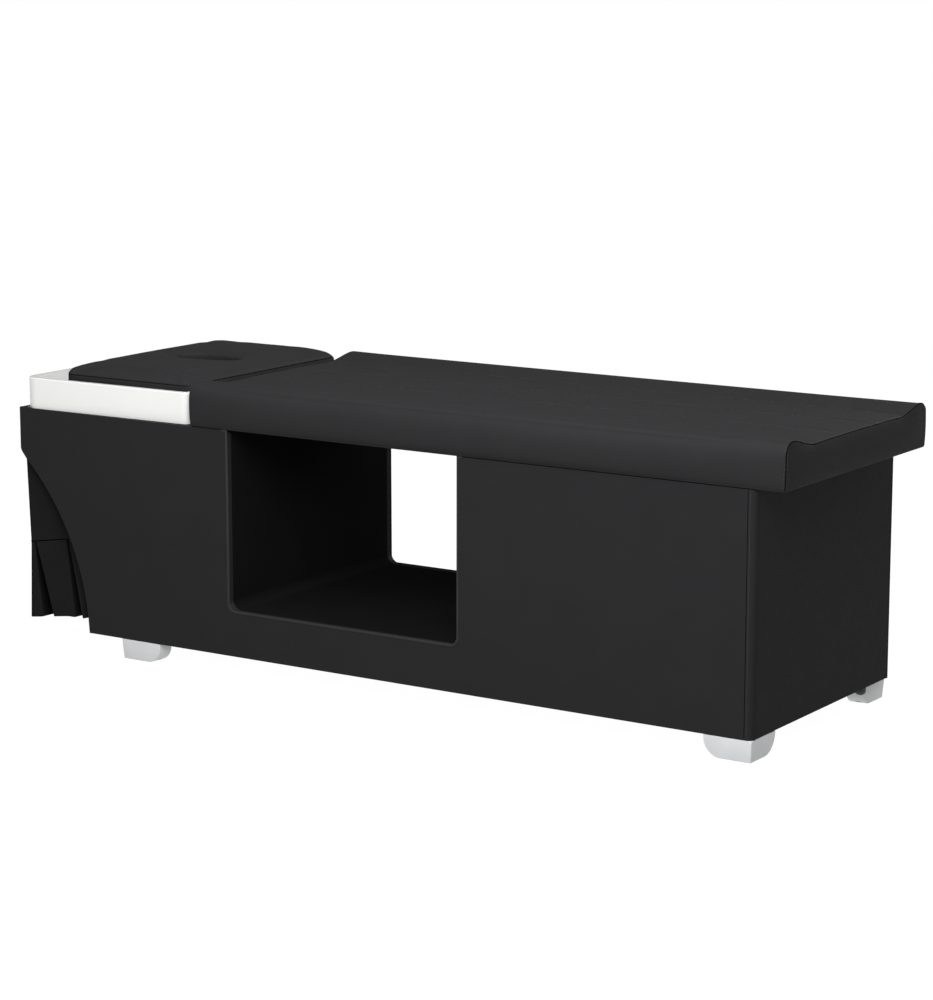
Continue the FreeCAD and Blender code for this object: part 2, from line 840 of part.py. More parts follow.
def basin_plan(inset):
    """The basin's plan, narrower at the foot end, drawn in by inset."""
    half_head = side - size.basin_side_in_head - inset
    half_foot = side - size.basin_side_in_foot - inset
    low, high = basin_head + inset, basin_foot - inset
    return [(low, -half_head), (high, -half_foot), (high, half_foot), (low, half_head)]


def basin_radii(inset):
    head, foot = size.basin_corner_head - inset, size.basin_corner_foot - inset
    return [head, foot, foot, head]


def basin_prism(name, inset, low, high):
    wires = [rounded_wire(basin_plan(inset), basin_radii(inset), z) for z in (low, high)]
    return lofted(name, wires)


def between(start, finish, share):
    return start + (finish - start) * share


def bowl_sections(grow, low):
    """The bowl's sections from the deck down to low, where it closes in on its floor round the
    drain, grown by grow for its outer face."""
    floor_x = (drain_x - size.bowl_floor_length / 2, drain_x + size.bowl_floor_length / 2)
    floor_y = (-size.bowl_floor_width / 2, size.bowl_floor_width / 2)
    wires = []
    for depth_share, inset_share in BOWL_SHARES:
        x = [between(*edges, inset_share) for edges in zip(bowl_x, floor_x)]
        y = [between(*edges, inset_share) for edges in zip(bowl_y, floor_y)]
        radius = between(size.bowl_corner, size.bowl_floor_corner, inset_share) + grow
        z = between(deck_top, low, depth_share)
        wires.append(rounded_wire(rectangle(x, y, -grow), [radius] * 4, z))
    return wires


def basin_moulding():
    wall, shell = size.basin_wall, size.basin_shell
    outside = basin_prism("basin_outside", 0, top, rim_top)
    rim_z = float(rim_top)
    doc.recompute()
    rim = doc.addObject("Part::Fillet", "basin_rim")
    rim.Base = outside
    radius = float(size.basin_rim_radius)
    rim.Edges = [
        (number, radius, radius) for number, edge in enumerate(outside.Shape.Edges, 1)
        if all(abs(corner.Point.z - rim_z) < CLOSE for corner in edge.Vertexes)
    ]
    well = basin_prism("basin_well", wall, deck_top, rim_top + size.overrun)
    skirt = basin_prism("basin_skirt", wall, top - size.overrun, deck_top - shell)
    tray = cut("basin_tray", rim, [well, skirt])
    lift = rounded_wire(rectangle(bowl_x, bowl_y), [size.bowl_corner] * 4, deck_top + size.overrun)
    outer = lofted("bowl_outside", bowl_sections(shell, bowl_floor - shell))
    inner = lofted("bowl_inside", [lift] + bowl_sections(0, bowl_floor))
    whole = join("basin_whole", [tray, outer])
    neck_z = deck_top + size.neck_lift + size.neck_radius
    neck = rod("neck_notch", size.neck_radius, wall + 2 * size.overrun,
               inner_foot - size.overrun, 0, neck_z, "X")
    reach = size.bowl_depth + size.deck_depth
    drain = rod("drain_hole", size.drain_hole_radius, reach, drain_x, 0, bowl_floor - size.deck_depth)
    mixer = rod("mixer_hole", size.mixer_hole_radius, size.deck_depth,
                tap_x, mixer_y, deck_top - size.deck_depth / 2)
    socket = rod("socket_hole", size.socket_hole_radius, size.deck_depth,
                 tap_x, spray_y, deck_top - size.deck_depth / 2)
    return cut("basin_moulding", whole, [inner, neck, drain, mixer, socket])


def neck_cushion():
    """A soft saddle on the basin's neck notch, with a lip over the outer face."""
    gap, wall = size.soft_gap, size.basin_wall
    radius = size.neck_radius - gap
    axis_z = deck_top + size.neck_lift + size.neck_radius
    outer_face = basin_foot + gap
    saddle = rod("neck_saddle", radius, outer_face - inner_foot, inner_foot, 0, axis_z, "X")
    lip = rod("neck_lip", radius + size.neck_pad_flange, size.neck_pad_lip, outer_face, 0, axis_z, "X")
    hollow = rod("neck_hollow", radius - size.neck_pad, wall + 2 * size.basin_gap,
                 inner_foot - size.overrun, 0, axis_z, "X")
    ring_form = cut("neck_ring", join("neck_solid", [saddle, lip]), [hollow])
    reach = size.neck_radius + size.neck_pad_flange
    limit = block("neck_limit", (inner_foot, outer_face + size.neck_pad_lip), (-reach, reach),
                  (top, rim_top - size.basin_rim_radius))
    return overlap("neck_cushion", ring_form, limit)


keep("basin", basin_moulding())
keep("neck_rest", neck_cushion())


# Waste fittings under the bowl: flange, gasket, back nut, union, tail pipe and bottle trap
def waste_fittings():
    seat = bowl_floor + size.drain_flange_height
    tail_low = bowl_floor - size.drain_tail_length
    ledge = seat - size.strainer_seat - size.strainer_disc
    ledge_bore = size.drain_bore_radius - size.strainer_seat
    shell = size.basin_shell
    flange = [
        (ledge_bore, tail_low),
        (size.drain_tail_radius, tail_low),
        (size.drain_tail_radius, bowl_floor),
        (size.drain_flange_radius, bowl_floor),
        (size.drain_bore_radius + size.strainer_seat, seat),
        (size.drain_bore_radius, seat),
        (size.drain_bore_radius, ledge),
        (ledge_bore, ledge),
    ]
    keep("drain_flange", turned("drain_flange", flange, drain_x))
    thread = size.drain_tail_radius + size.thread_gap
    gasket_z = (bowl_floor - shell - size.drain_gasket, bowl_floor - shell)
    nut_z = (gasket_z[0] - size.drain_nut_height, gasket_z[0])
    gasket = ring(thread, size.drain_nut_radius, *gasket_z)
    keep("drain_gasket", turned("drain_gasket", gasket, drain_x))
    nut = doc.addObject("Part::Prism", "drain_nut_hexagon")
    nut.Polygon = 6
    locate(bind(nut, Circumradius=size.drain_nut_radius, Height=size.drain_nut_height), drain_x, 0, nut_z[0])
    bore = rod("drain_nut_bore", thread, 3 * size.drain_nut_height,
               drain_x, 0, nut_z[0] - size.drain_nut_height)
    keep("drain_nut", cut("drain_nut", nut, [bore]))
    union_low = tail_low - size.waste_collar - size.union_floor
    pipe = size.waste_radius + size.thread_gap
    union = [
        (pipe, union_low),
        (size.union_radius, union_low),
        (size.union_radius, union_low + size.union_height),
        (thread, union_low + size.union_height),
        (thread, union_low + size.union_floor),
        (pipe, union_low + size.union_floor),
    ]
    keep("waste_union_nut", turned("waste_union_nut", union, drain_x))
    trap_top = union_low - size.trap_body_drop
    joint_z = trap_top - size.trap_body_height
    pipe_low = joint_z - size.trap_dip
    collar_low = tail_low - size.waste_collar
    bore_r = size.waste_radius - size.waste_wall
    tail = [
        (bore_r, pipe_low),
        (size.waste_radius, pipe_low),
        (size.waste_radius, collar_low),
        (size.waste_collar_radius, collar_low),
        (size.waste_collar_radius, tail_low),
        (bore_r, tail_low),
    ]
    keep("waste_tail", turned("waste_tail", tail, drain_x))
    inner = size.trap_radius - size.trap_wall
    shell_outline = [
        (inner, joint_z),
        (size.trap_radius, joint_z),
        (size.trap_radius, trap_top),
        (pipe, trap_top),
        (pipe, trap_top - size.trap_wall),
        (inner, trap_top - size.trap_wall),
    ]
    trap = turned("trap_shell", shell_outline, drain_x)
    outlet_z = trap_top - size.trap_outlet_drop
    elbow, bore = size.trap_elbow_radius, size.trap_outlet_radius - size.trap_wall
    elbow_y = size.trap_radius + size.trap_elbow_gap + elbow
    elbow_low = outlet_z - elbow - size.trap_elbow_reach
    outlet_low = elbow_low - size.trap_outlet_reach
    bore_low = outlet_low - size.overrun
    whole = join("trap_body_whole", [
        trap,
        rod("elbow_across", elbow, elbow_y, drain_x, 0, outlet_z, "Y"),
        ball("elbow_turn", elbow, drain_x, elbow_y, outlet_z),
        rod("elbow_down", elbow, outlet_z - elbow_low, drain_x, elbow_y, elbow_low),
        rod("trap_outlet", size.trap_outlet_radius, elbow_low - outlet_low, drain_x, elbow_y, outlet_low),
    ])
    body = cut("trap_body_form", whole, [
        rod("bore_across", bore, elbow_y, drain_x, 0, outlet_z, "Y"),
        ball("bore_turn", bore, drain_x, elbow_y, outlet_z),
        rod("bore_down", bore, outlet_z - bore_low, drain_x, elbow_y, bore_low),
        rod("trap_inside", inner, size.trap_body_height - size.trap_wall, drain_x, 0, joint_z),
    ])
    keep("trap_body", body)
    for name, sheet, low in (("base_board", base_board, board_low), ("bottom_cloth", bottom_cloth, under)):
        hole = rod(name + "_hole", size.waste_hole_radius, board_high - low, drain_x, elbow_y, low)
        keep(name, cut(name, sheet, [hole]))
    cup_low = joint_z - size.trap_cup_height
    spigot = inner - size.thread_gap
    cup = [
        (0, cup_low),
        (size.trap_radius, cup_low),
        (size.trap_radius, joint_z),
        (spigot, joint_z),
        (spigot, joint_z + size.trap_spigot),
        (spigot - size.trap_wall, joint_z + size.trap_spigot),
        (spigot - size.trap_wall, cup_low + size.trap_wall),
        (0, cup_low + size.trap_wall),
    ]
    keep("trap_cup", turned("trap_cup", cup, drain_x))
    strainer = [
        (0, ledge),
        (size.strainer_radius, ledge),
        (size.strainer_radius, ledge + size.strainer_disc),
        (size.strainer_knob_radius, ledge + size.strainer_disc),
        (size.strainer_knob_radius, ledge + size.strainer_knob_height),
        (0, ledge + size.strainer_knob_height),
    ]
    disc = turned("strainer_disc", strainer, drain_x)
    holes = []
    for number in range(STRAINER_HOLES):
        angle = 2 * math.pi * number / STRAINER_HOLES
        holes.append(rod(
            f"strainer_hole_{number}", size.strainer_hole_radius, 3 * size.strainer_disc,
            drain_x + size.strainer_ring_radius * math.cos(angle),
            size.strainer_ring_radius * math.sin(angle), ledge - size.strainer_disc,
        ))
    keep("drain_strainer", cut("drain_strainer", disc, holes))


STRAINER_HOLES = 10
waste_fittings()


# The mixer: a low body on the head deck, with a lever that turns and tilts on a dome
def mixer():
    base_z = deck_top + size.mixer_base_height
    body_top = base_z + size.mixer_body_height
    room = size.mixer_body_radius - size.mixer_wall
    cartridge_low = base_z + size.mixer_wall
    outline = [
        (0, deck_top - size.mixer_shank_length),
        (size.mixer_shank_radius, deck_top - size.mixer_shank_length),
        (size.mixer_shank_radius, deck_top),
        (size.mixer_base_radius, deck_top),
        (size.mixer_base_radius, base_z - size.mixer_round),
        (size.mixer_base_radius - size.mixer_round, base_z),
        (size.mixer_body_radius, base_z),
        (size.mixer_body_radius, body_top),
        (room, body_top),
        (room, cartridge_low),
        (0, cartridge_low),
    ]
    keep("mixer_body", turned("mixer_body", outline, tap_x, mixer_y, arcs={4: size.mixer_round}))
    core_radius = room - size.thread_gap
    cartridge = rod("mixer_cartridge", core_radius, body_top - cartridge_low, tap_x, mixer_y, cartridge_low)
    keep("mixer_cartridge", cartridge)
    nut_high = deck_top - size.basin_shell
    nut = ring(size.mixer_shank_radius + size.thread_gap, size.deck_nut_radius,
               nut_high - size.deck_nut_height, nut_high)
    keep("mixer_nut", turned("mixer_nut", nut, tap_x, mixer_y))
    tail_z = deck_top - size.mixer_shank_length - size.inlet_length
    tails = [
        rod(f"inlet_{label}", size.inlet_radius, size.inlet_length,
            tap_x, mixer_y + way * size.inlet_spacing / 2, tail_z)
        for label, way in (("hot", -1), ("cold", 1))
    ]
    keep("mixer_inlets", join("mixer_inlets", tails, "Part::Compound"))
    dome_low = body_top + size.mixer_gap
    dome_top = dome_low + size.dome_height
    dome = [
        (0, dome_low),
        (size.dome_radius, dome_low),
        (size.dome_radius, dome_top - size.mixer_round),
        (size.dome_radius - size.mixer_round, dome_top),
        (0, dome_top),
    ]
    keep("mixer_dome", turned("mixer_dome", dome, tap_x, mixer_y, arcs={2: size.mixer_round}))
    lever_low = dome_top + size.mixer_gap
    near_y = mixer_y - size.lever_heel
    far_y = near_y + size.lever_length
    half, tip = size.lever_width / 2, size.lever_tip_width / 2
    pivot = size.lever_thickness / 2
    pivot_y = near_y + pivot
    paddle = padded_outline(
        "lever_paddle", "XY", lever_low,
        [(tap_x - half, pivot_y), (tap_x + half, pivot_y), (tap_x + tip, far_y), (tap_x - tip, far_y)],
        size.lever_thickness, {2: size.lever_tip_width * LEVER_TIP_SHARE},
    )
    barrel = rod("lever_barrel", pivot, size.lever_width, tap_x - half, pivot_y, lever_low + pivot, "X")
    keep("mixer_lever", join("lever_whole", [paddle, barrel]))


LEVER_TIP_SHARE = 0.55
mixer()


# The pull-out spray: a sleeve through the deck, and a hand spray that stands in it
def hand_spray():
    flange_top = deck_top + size.socket_flange_height
    sleeve = [
        (size.socket_bore_radius, deck_top - size.socket_length),
        (size.socket_radius, deck_top - size.socket_length),
        (size.socket_radius, deck_top),
        (size.socket_flange_radius, deck_top),
        (size.socket_flange_radius, flange_top),
        (size.socket_bore_radius, flange_top),
    ]
    keep("spray_socket", turned("spray_socket", sleeve, tap_x, spray_y))
    nut_high = deck_top - size.basin_shell
    nut = ring(size.socket_radius + size.thread_gap, size.deck_nut_radius,
               nut_high - size.deck_nut_height, nut_high)
    keep("spray_socket_nut", turned("spray_socket_nut", nut, tap_x, spray_y))
    neck_z = flange_top + size.spray_collar_height
    head_z = neck_z + size.spray_neck_height
    head_top = head_z + size.spray_head_height
    rim_z = head_top - size.spray_rim_height
    body = [
        (0, flange_top - size.spray_stem_length),
        (size.spray_stem_radius, flange_top - size.spray_stem_length),
        (size.spray_stem_radius, flange_top),
        (size.spray_collar_radius, flange_top),
        (size.spray_collar_radius, neck_z),
        (size.spray_neck_radius, head_z),
        (size.spray_head_radius, rim_z),
        (size.spray_head_radius, head_top),
        (size.spray_face_radius, head_top),
        (size.spray_face_radius, head_top - size.spray_face_height),
        (0, head_top - size.spray_face_height),
    ]
    keep("spray_head", turned("spray_head", body, tap_x, spray_y, arcs={5: size.spray_head_height}))
    plate_radius = size.spray_face_radius - size.thread_gap
    plate = rod("spray_plate", plate_radius, size.spray_face_height, tap_x, spray_y,
                head_top - size.spray_face_height)
    tips = [
        rod(f"nozzle_{row}_{number}", size.nozzle_radius, size.nozzle_height + size.spray_face_height,
            tap_x + size.spray_face_radius * reach_share * math.cos(math.tau * number / count),
            spray_y + size.spray_face_radius * reach_share * math.sin(math.tau * number / count),
            head_top - size.spray_face_height)
        for row, (reach_share, count) in enumerate(NOZZLE_ROWS)
        for number in range(count)
    ]
    keep("spray_face", join("spray_face", [plate] + tips))


NOZZLE_ROWS = ((0.3, 5), (0.68, 10))
hand_spray()


# The head cushion: foam on a plywood board, with a hole for the face
CROWN_SHARES = (0, 0.03, 0.1, 0.24, 0.45, 0.7, 1)
FLARE_SHARES = ((0, 0), (0.75, 0), (0.9, 0.3), (1, 1))


def cushion_wire(inset, z):
    x, y = (cushion_head, cushion_foot), (-cushion_half, cushion_half)
    radius = size.cushion_corner + inset / 2
    return rounded_wire(rectangle(x, y, inset), [radius] * 4, z)


def face_hole(name, z, grow=0):
    """A long oval hole, wider towards the top of the cushion."""
    centre = (cushion_head + cushion_foot) / 2 + size.face_hole_shift
    wires = []
    for depth_share, flare_share in FLARE_SHARES:
        spread = size.face_hole_flare * flare_share + grow
        length = size.face_hole_length / 2 + spread - size.face_hole_flare
        width = size.face_hole_width / 2 + spread - size.face_hole_flare
        corners = rectangle((centre - length, centre + length), (-width, width))
        radii = [width * HOLE_ROUND_SHARE] * 4
        wires.append(rounded_wire(corners, radii, between(*z, depth_share)))
    return lofted(name, wires)


HOLE_ROUND_SHARE = 0.96


def head_cushion():
    low = deck_top
    seam = low + size.cushion_seam_height
    wires = [cushion_wire(size.cushion_pinch, low), cushion_wire(0, low + size.cushion_board)]
    wires.append(cushion_wire(size.cushion_pinch / 2, (low + seam) / 2))
    for share in CROWN_SHARES:
        rise = math.sqrt(1 - (1 - share) ** 2)
        wires.append(cushion_wire(size.cushion_crown_reach * share, seam + size.cushion_crown * rise))
    form = lofted("cushion_form", wires)
    x = (cushion_head + size.cushion_board_in, cushion_foot - size.cushion_board_in)
    y = cushion_half - size.cushion_board_in
    z = (low, low + size.cushion_board)
    hole_z = (low - size.overrun, seam + size.cushion_crown + size.overrun)
    board = block("cushion_board_blank", x, (-y, y), z)
    room = block("cushion_board_room", x, (-y, y), z)
    keep("head_cushion_board", cut("cushion_board", board, [face_hole("board_hole", hole_z)]))
    keep("head_cushion_pad", cut("cushion_pad", form, [room, face_hole("pad_hole", hole_z)]))


head_cushion()


# The curtain: a smooth yoke on a timber rail under the apron, and a pleated flounce sewn below it
sheet = size.curtain_sheet
yoke_x = head_end + size.curtain_rail_in - sheet
yoke_y = inside - size.curtain_side_gap
leg_end_x = head_end + size.curtain_leg_end
leg_bend_x = head_end + size.curtain_leg_start
leg_y = yoke_y - size.curtain_leg_in
rail_high = apron_low - size.cover


def curtain_path(back):
    """The near half of the curtain's line, from the near leg's end to the head end's middle,
    moved back from its outer face by back."""
    lean = size.curtain_corner_in
    return [
        (leg_end_x, back - leg_y),
        (leg_bend_x, back - leg_y),
        (yoke_x + back + lean, back - yoke_y),
        (yoke_x + back, lean + back - yoke_y),
    ]


def both_sides(path):
    return path + [(x, -y) for x, y in reversed(path)]


def curtain_timber():
    outer = both_sides(curtain_path(sheet))
    inner = both_sides(curtain_path(sheet + size.curtain_rail))
    return padded_outline("curtain_rail", "XY", rail_high - size.curtain_rail_height,
                          outer + inner[::-1], size.curtain_rail_height)


def curtain_yoke():
    outer = both_sides(curtain_path(0))
    inner = both_sides(curtain_path(sheet))
    low, high = size.curtain_seam_height, rail_high - size.curtain_top_gap
    return padded_outline("curtain_yoke", "XY", low, outer + inner[::-1], high - low)


keep("curtain_rail", curtain_timber())
keep("curtain_yoke", curtain_yoke())


# Each row is one fold line of the near leg's flounce, from the leg's end to the corner: how far it
# lies along the leg at the seam and at the hem, and how deep in the pleat, 0 outside and 1 inside
LEG_FOLD_SHARES = (
    (0.02, 0.02, 1),
    (0.26, 0.21, 1),
    (0.24, 0.19, 0),
    (0.85, 0.49, 0),
    (0.83, 0.52, 1),
    (0.925, 0.68, 1),
    (0.89, 0.70, 0),
    (0.97, 0.93, 0),
)
HEAD_FOLD_SHARES = ((0.0, 0), (0.56, 0), (0.54, 1), (0.98, 1))


def flounce_wire(z, at_seam):
    """The flounce's closed outline at the seam or at the hem: its outer line with all folds, and
    the same line moved back by the sheet's thickness."""
    depth = float(size.seam_pleat_depth if at_seam else size.hem_pleat_depth)
    flare = 0.0 if at_seam else float(size.hem_flare)
    side_flare = 0.0 if at_seam else float(size.hem_side_flare)
    start, bend = float(leg_end_x), float(leg_bend_x)
    corner_x = float(yoke_x + size.curtain_corner_in)
    line = []
    for seam_share, hem_share, inward in LEG_FOLD_SHARES:
        share = seam_share if at_seam else hem_share
        x = start + (corner_x - start) * share
        lean = max(0.0, min(1.0, (x - corner_x) / (bend - corner_x)))
        lean_in = float(size.curtain_leg_in) * lean if at_seam else -side_flare
        outer_y = lean_in - float(yoke_y)
        line.append(Vector(x, outer_y + depth * inward, z))
    line.append(Vector(corner_x, -float(yoke_y) - side_flare, z))
    head_x = float(yoke_x) - flare
    first_y = -float(yoke_y - size.curtain_corner_in)
    line.append(Vector(head_x, first_y, z))
    span = -first_y * 2
    count = max(1, round(span / float(size.head_pleat_pitch)))
    pitch = span / count
    for number in range(count):
        for share, inward in HEAD_FOLD_SHARES[1:]:
            line.append(Vector(head_x + depth * inward, first_y + pitch * (number + share), z))
        line.append(Vector(head_x, first_y + pitch * (number + 1), z))
    far = [Vector(p.x, -p.y, p.z) for p in reversed(line[: len(LEG_FOLD_SHARES) + 1])]
    line += far
    return closed_strip(line, float(sheet))


def closed_strip(line, thickness):
    """A closed wire round a thin strip whose outer face follows line and whose inner face lies
    thickness to its right."""
    inner = []
    for number, here in enumerate(line):
        ways = []
        if number > 0:
            ways.append((here - line[number - 1]).normalize())
        if number < len(line) - 1:
            ways.append((line[number + 1] - here).normalize())
        rights = [Vector(way.y, -way.x, 0) for way in ways]
        if len(rights) == 1:
            inner.append(here + rights[0] * thickness)
            continue
        spread = 1 + rights[0].dot(rights[1])
        inner.append(here + (rights[0] + rights[1]) * (thickness / max(spread, MITRE_LIMIT)))
    return Part.makePolygon(line + inner[::-1] + line[:1])


MITRE_LIMIT = 0.35
hem = flounce_wire(float(size.curtain_hem_height), False)
seam_line = flounce_wire(float(size.curtain_seam_height), True)
keep("curtain_flounce", lofted("flounce", [hem, seam_line]))


# Feet: moulded corner feet, each two webs with a generous round under their far ends
def corner_foot(name, corner_x, way_x, way_y):
    """A foot whose upright corner is at corner_x on the base's long side. way_x and way_y are the
    directions in which its webs run from that corner."""
    y0 = side if way_y < 0 else -side

    def span(start, way, length):
        return (start, start + length) if way > 0 else (start - length, start)

    long_web = block(name + "_long", span(corner_x, way_x, size.foot_web_x),
                     span(y0, way_y, size.foot_thickness), (0, under))
    short_web = block(name + "_short", span(corner_x, way_x, size.foot_thickness),
                      span(y0, way_y, size.foot_web_y), (0, under))
    tip_x = float(corner_x + way_x * size.foot_web_x)
    tip_y = float(y0 + way_y * size.foot_web_y)
    long_web = soften(name + "_long_round", long_web, size.foot_edge_radius,
                      lambda a, b: max(abs(a.x - tip_x), abs(b.x - tip_x), abs(a.z), abs(b.z)) < CLOSE)
    short_web = soften(name + "_short_round", short_web, size.foot_edge_radius,
                       lambda a, b: max(abs(a.y - tip_y), abs(b.y - tip_y), abs(a.z), abs(b.z)) < CLOSE)
    whole = join(name + "_whole", [long_web, short_web])
    middle = size.foot_thickness / 2
    places = [
        (corner_x + way_x * middle, y0 + way_y * middle),
        (corner_x + way_x * (size.foot_web_x - middle), y0 + way_y * middle),
        (corner_x + way_x * middle, y0 + way_y * (size.foot_web_y - middle)),
    ]
    drills = []
    screws = []
    for number, (x, y) in enumerate(places):
        label = f"{name}_{number}"
        shelf = size.counterbore_depth
        drills.append(rod(label + "_hole", size.screw_radius + size.drill_gap, under + size.overrun, x, y))
        drills.append(rod(label + "_counterbore", size.screw_head_radius + size.drill_gap,
                          shelf + size.overrun, x, y, -size.overrun))
        profile = [
            (0, shelf - size.screw_head_height),
            (size.screw_head_radius, shelf - size.screw_head_height),
            (size.screw_head_radius, shelf),
            (size.screw_radius, shelf),
            (size.screw_radius, under),
            (0, under),
        ]
        screws.append(turned(label + "_screw", profile, x, y))
    return cut(name, whole, drills), screws


def feet():
    head_corner = head_end + size.pod_setback + size.head_foot_inset
    plans = (
        ("foot_near_foot_end", foot_end, -1, 1),
        ("foot_far_foot_end", foot_end - size.far_foot_inset, -1, -1),
        ("foot_near_head_end", head_corner, 1, 1),
        ("foot_far_head_end", head_corner, 1, -1),
    )
    screws = []
    for name, corner_x, way_x, way_y in plans:
        foot, its_screws = corner_foot(name, corner_x, way_x, way_y)
        keep(name, foot)
        screws += its_screws
    keep("foot_screws", join("foot_screws", screws, "Part::Compound"))


feet()


# A small round rubber buffer under the base beside the far foot
def buffer():
    low = under - size.buffer_height
    outline = [(0, low)]
    for radius_share, height_share in BUFFER_SHARES:
        outline.append((size.buffer_radius * radius_share, low + size.buffer_height * height_share))
    outline.append((0, under))
    y = side - size.foot_web_y - size.buffer_gap - size.buffer_radius
    return turned("floor_buffer", outline, foot_end - size.buffer_in, y)


BUFFER_SHARES = ((0.55, 0), (0.86, 0.18), (1, 0.5), (1, 1))
keep("floor_buffer", buffer())


# Nothing is written unless every feature worked and every sub-part is sound
doc.recompute()
for thing in doc.Objects:
    if {"Invalid", "Error"} & set(thing.State):
        raise RuntimeError(f"{thing.Name} failed: {thing.State}")
for piece in pieces:
    if piece.Shape.isNull() or not piece.Shape.isValid() or not piece.Shape.Solids:
        raise RuntimeError(f"{piece.Label} has no sound solid")
os.makedirs("parts", exist_ok=True)
for piece in pieces:
    piece.Shape.exportStep(f"parts/{piece.Label}.step")
print(len(pieces), "sub-parts")
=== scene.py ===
import math
import random

import bpy
import numpy as np
from mathutils import Matrix, Vector, noise
from mathutils.bvhtree import BVHTree


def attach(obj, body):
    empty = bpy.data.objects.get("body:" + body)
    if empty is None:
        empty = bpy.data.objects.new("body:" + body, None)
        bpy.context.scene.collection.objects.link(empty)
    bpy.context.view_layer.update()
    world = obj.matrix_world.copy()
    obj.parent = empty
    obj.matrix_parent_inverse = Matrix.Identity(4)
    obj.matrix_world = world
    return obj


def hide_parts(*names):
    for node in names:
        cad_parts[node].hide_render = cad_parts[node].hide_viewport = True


# Hair washing bed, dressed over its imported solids. Metres, +X to the foot end, +Y to the far side.
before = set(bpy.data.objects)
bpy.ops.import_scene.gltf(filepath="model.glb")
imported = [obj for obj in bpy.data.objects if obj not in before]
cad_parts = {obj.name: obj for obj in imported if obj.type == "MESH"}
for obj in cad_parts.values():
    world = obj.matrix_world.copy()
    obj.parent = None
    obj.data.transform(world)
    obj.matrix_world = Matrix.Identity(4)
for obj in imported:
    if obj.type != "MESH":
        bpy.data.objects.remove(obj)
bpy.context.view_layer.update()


# The viewpoint: a long lens at standing height, off the foot end's near corner, looking slightly
# down along the bed.
bpy.ops.object.camera_add(
    location=(3.8575, -5.7968, 1.7323),
    rotation=(math.radians(79.315), 0, math.radians(33.350)),
)
camera = bpy.context.object
camera.name = "standing_viewpoint"
camera.data.sensor_width = 36
camera.data.lens = 106.87
camera.data.clip_end = 1000
bpy.context.scene.camera = camera


# The studio: a smooth pale floor of sealed screed, a white room round it, and three broad
# diffused lamps, so that the black cover shows its form in soft highlights only.
def linear(hex_code):
    """An sRGB hex colour as linear red, green, blue and alpha."""
    parts = [int(hex_code[at:at + 2], 16) / 255 for at in (1, 3, 5)]
    return [p / 12.92 if p <= 0.04045 else ((p + 0.055) / 1.055) ** 2.4 for p in parts] + [1.0]


def add(material, kind, inputs=None, **settings):
    """Adds a node with its settings. An input takes a value, or a socket that it links from."""
    node = material.node_tree.nodes.new(kind)
    for name, value in settings.items():
        setattr(node, name, value)
    for name, value in (inputs or {}).items():
        if isinstance(value, bpy.types.NodeSocket):
            material.node_tree.links.new(value, node.inputs[name])
        else:
            node.inputs[name].default_value = value
    return node


def blend(material, share, first, second):
    """Mixes two hex colours by a node's share, and gives the socket of the mixed colour."""
    return add(material, "ShaderNodeMix", {0: share, 6: linear(first), 7: linear(second)},
               data_type="RGBA").outputs[2]


def blank_material(name):
    """A material with its shader taken out, so that its own nodes can be put in."""
    material = bpy.data.materials.new(name)
    material.use_nodes = True
    material.node_tree.nodes.clear()
    return material


def output(material, shader):
    """Puts a shader to the material's surface, and gives the material."""
    add(material, "ShaderNodeOutputMaterial", {"Surface": shader.outputs[0]})
    return material


def screed():
    """Sealed cement screed, trowelled smooth: nearly white, with faint broad cloudiness."""
    made = blank_material("sealed_screed_trowelled")
    place = add(made, "ShaderNodeTexCoord").outputs["Object"]
    cloud = add(made, "ShaderNodeTexNoise", {"Vector": place, "Scale": 1.3, "Detail": 3.0})
    tint = blend(made, cloud.outputs["Fac"], "#3C3C3C", "#424242")
    return output(made, add(made, "ShaderNodeBsdfPrincipled", {
        "Base Color": tint, "Roughness": 0.85, "Specular IOR Level": 0.0,
        "Emission Color": linear("#FFFFFF"), "Emission Strength": 0.99}))


FLOOR_SIZE = 500.0
bpy.ops.object.select_all(action="DESELECT")
bpy.ops.mesh.primitive_plane_add(size=FLOOR_SIZE)
floor = bpy.context.object
floor.name = "studio_floor"
floor.data.materials.append(screed())

room = bpy.data.worlds.new("white_room")
room.use_nodes = True
room.node_tree.nodes["Background"].inputs["Color"].default_value = linear("#FFFFFF")
room.node_tree.nodes["Background"].inputs["Strength"].default_value = 0.15
bpy.context.scene.world = room
bpy.context.scene.view_settings.view_transform = "Standard"

# place, aim, width, power
LAMPS = {
    "overhead_softbox": ((0.2, -0.8, 3.6), (0.0, 0.0, 0.6), 3.0, 140.0),
    "front_softbox": ((1.3, -2.9, 2.7), (0.3, 0.0, 0.4), 2.0, 190.0),
    "back_softbox": ((1.2, 3.6, 1.9), (0.0, 0.0, 0.3), 2.0, 100.0),
}
for name, (place, aim, width, power) in LAMPS.items():
    bpy.ops.object.light_add(type="AREA", location=place)
    lamp = bpy.context.object
    lamp.name = name
    lamp.data.shape = "SQUARE"
    lamp.data.size = width
    lamp.data.energy = power
    lamp.rotation_euler = (Vector(aim) - Vector(place)).to_track_quat("-Z", "Y").to_euler()


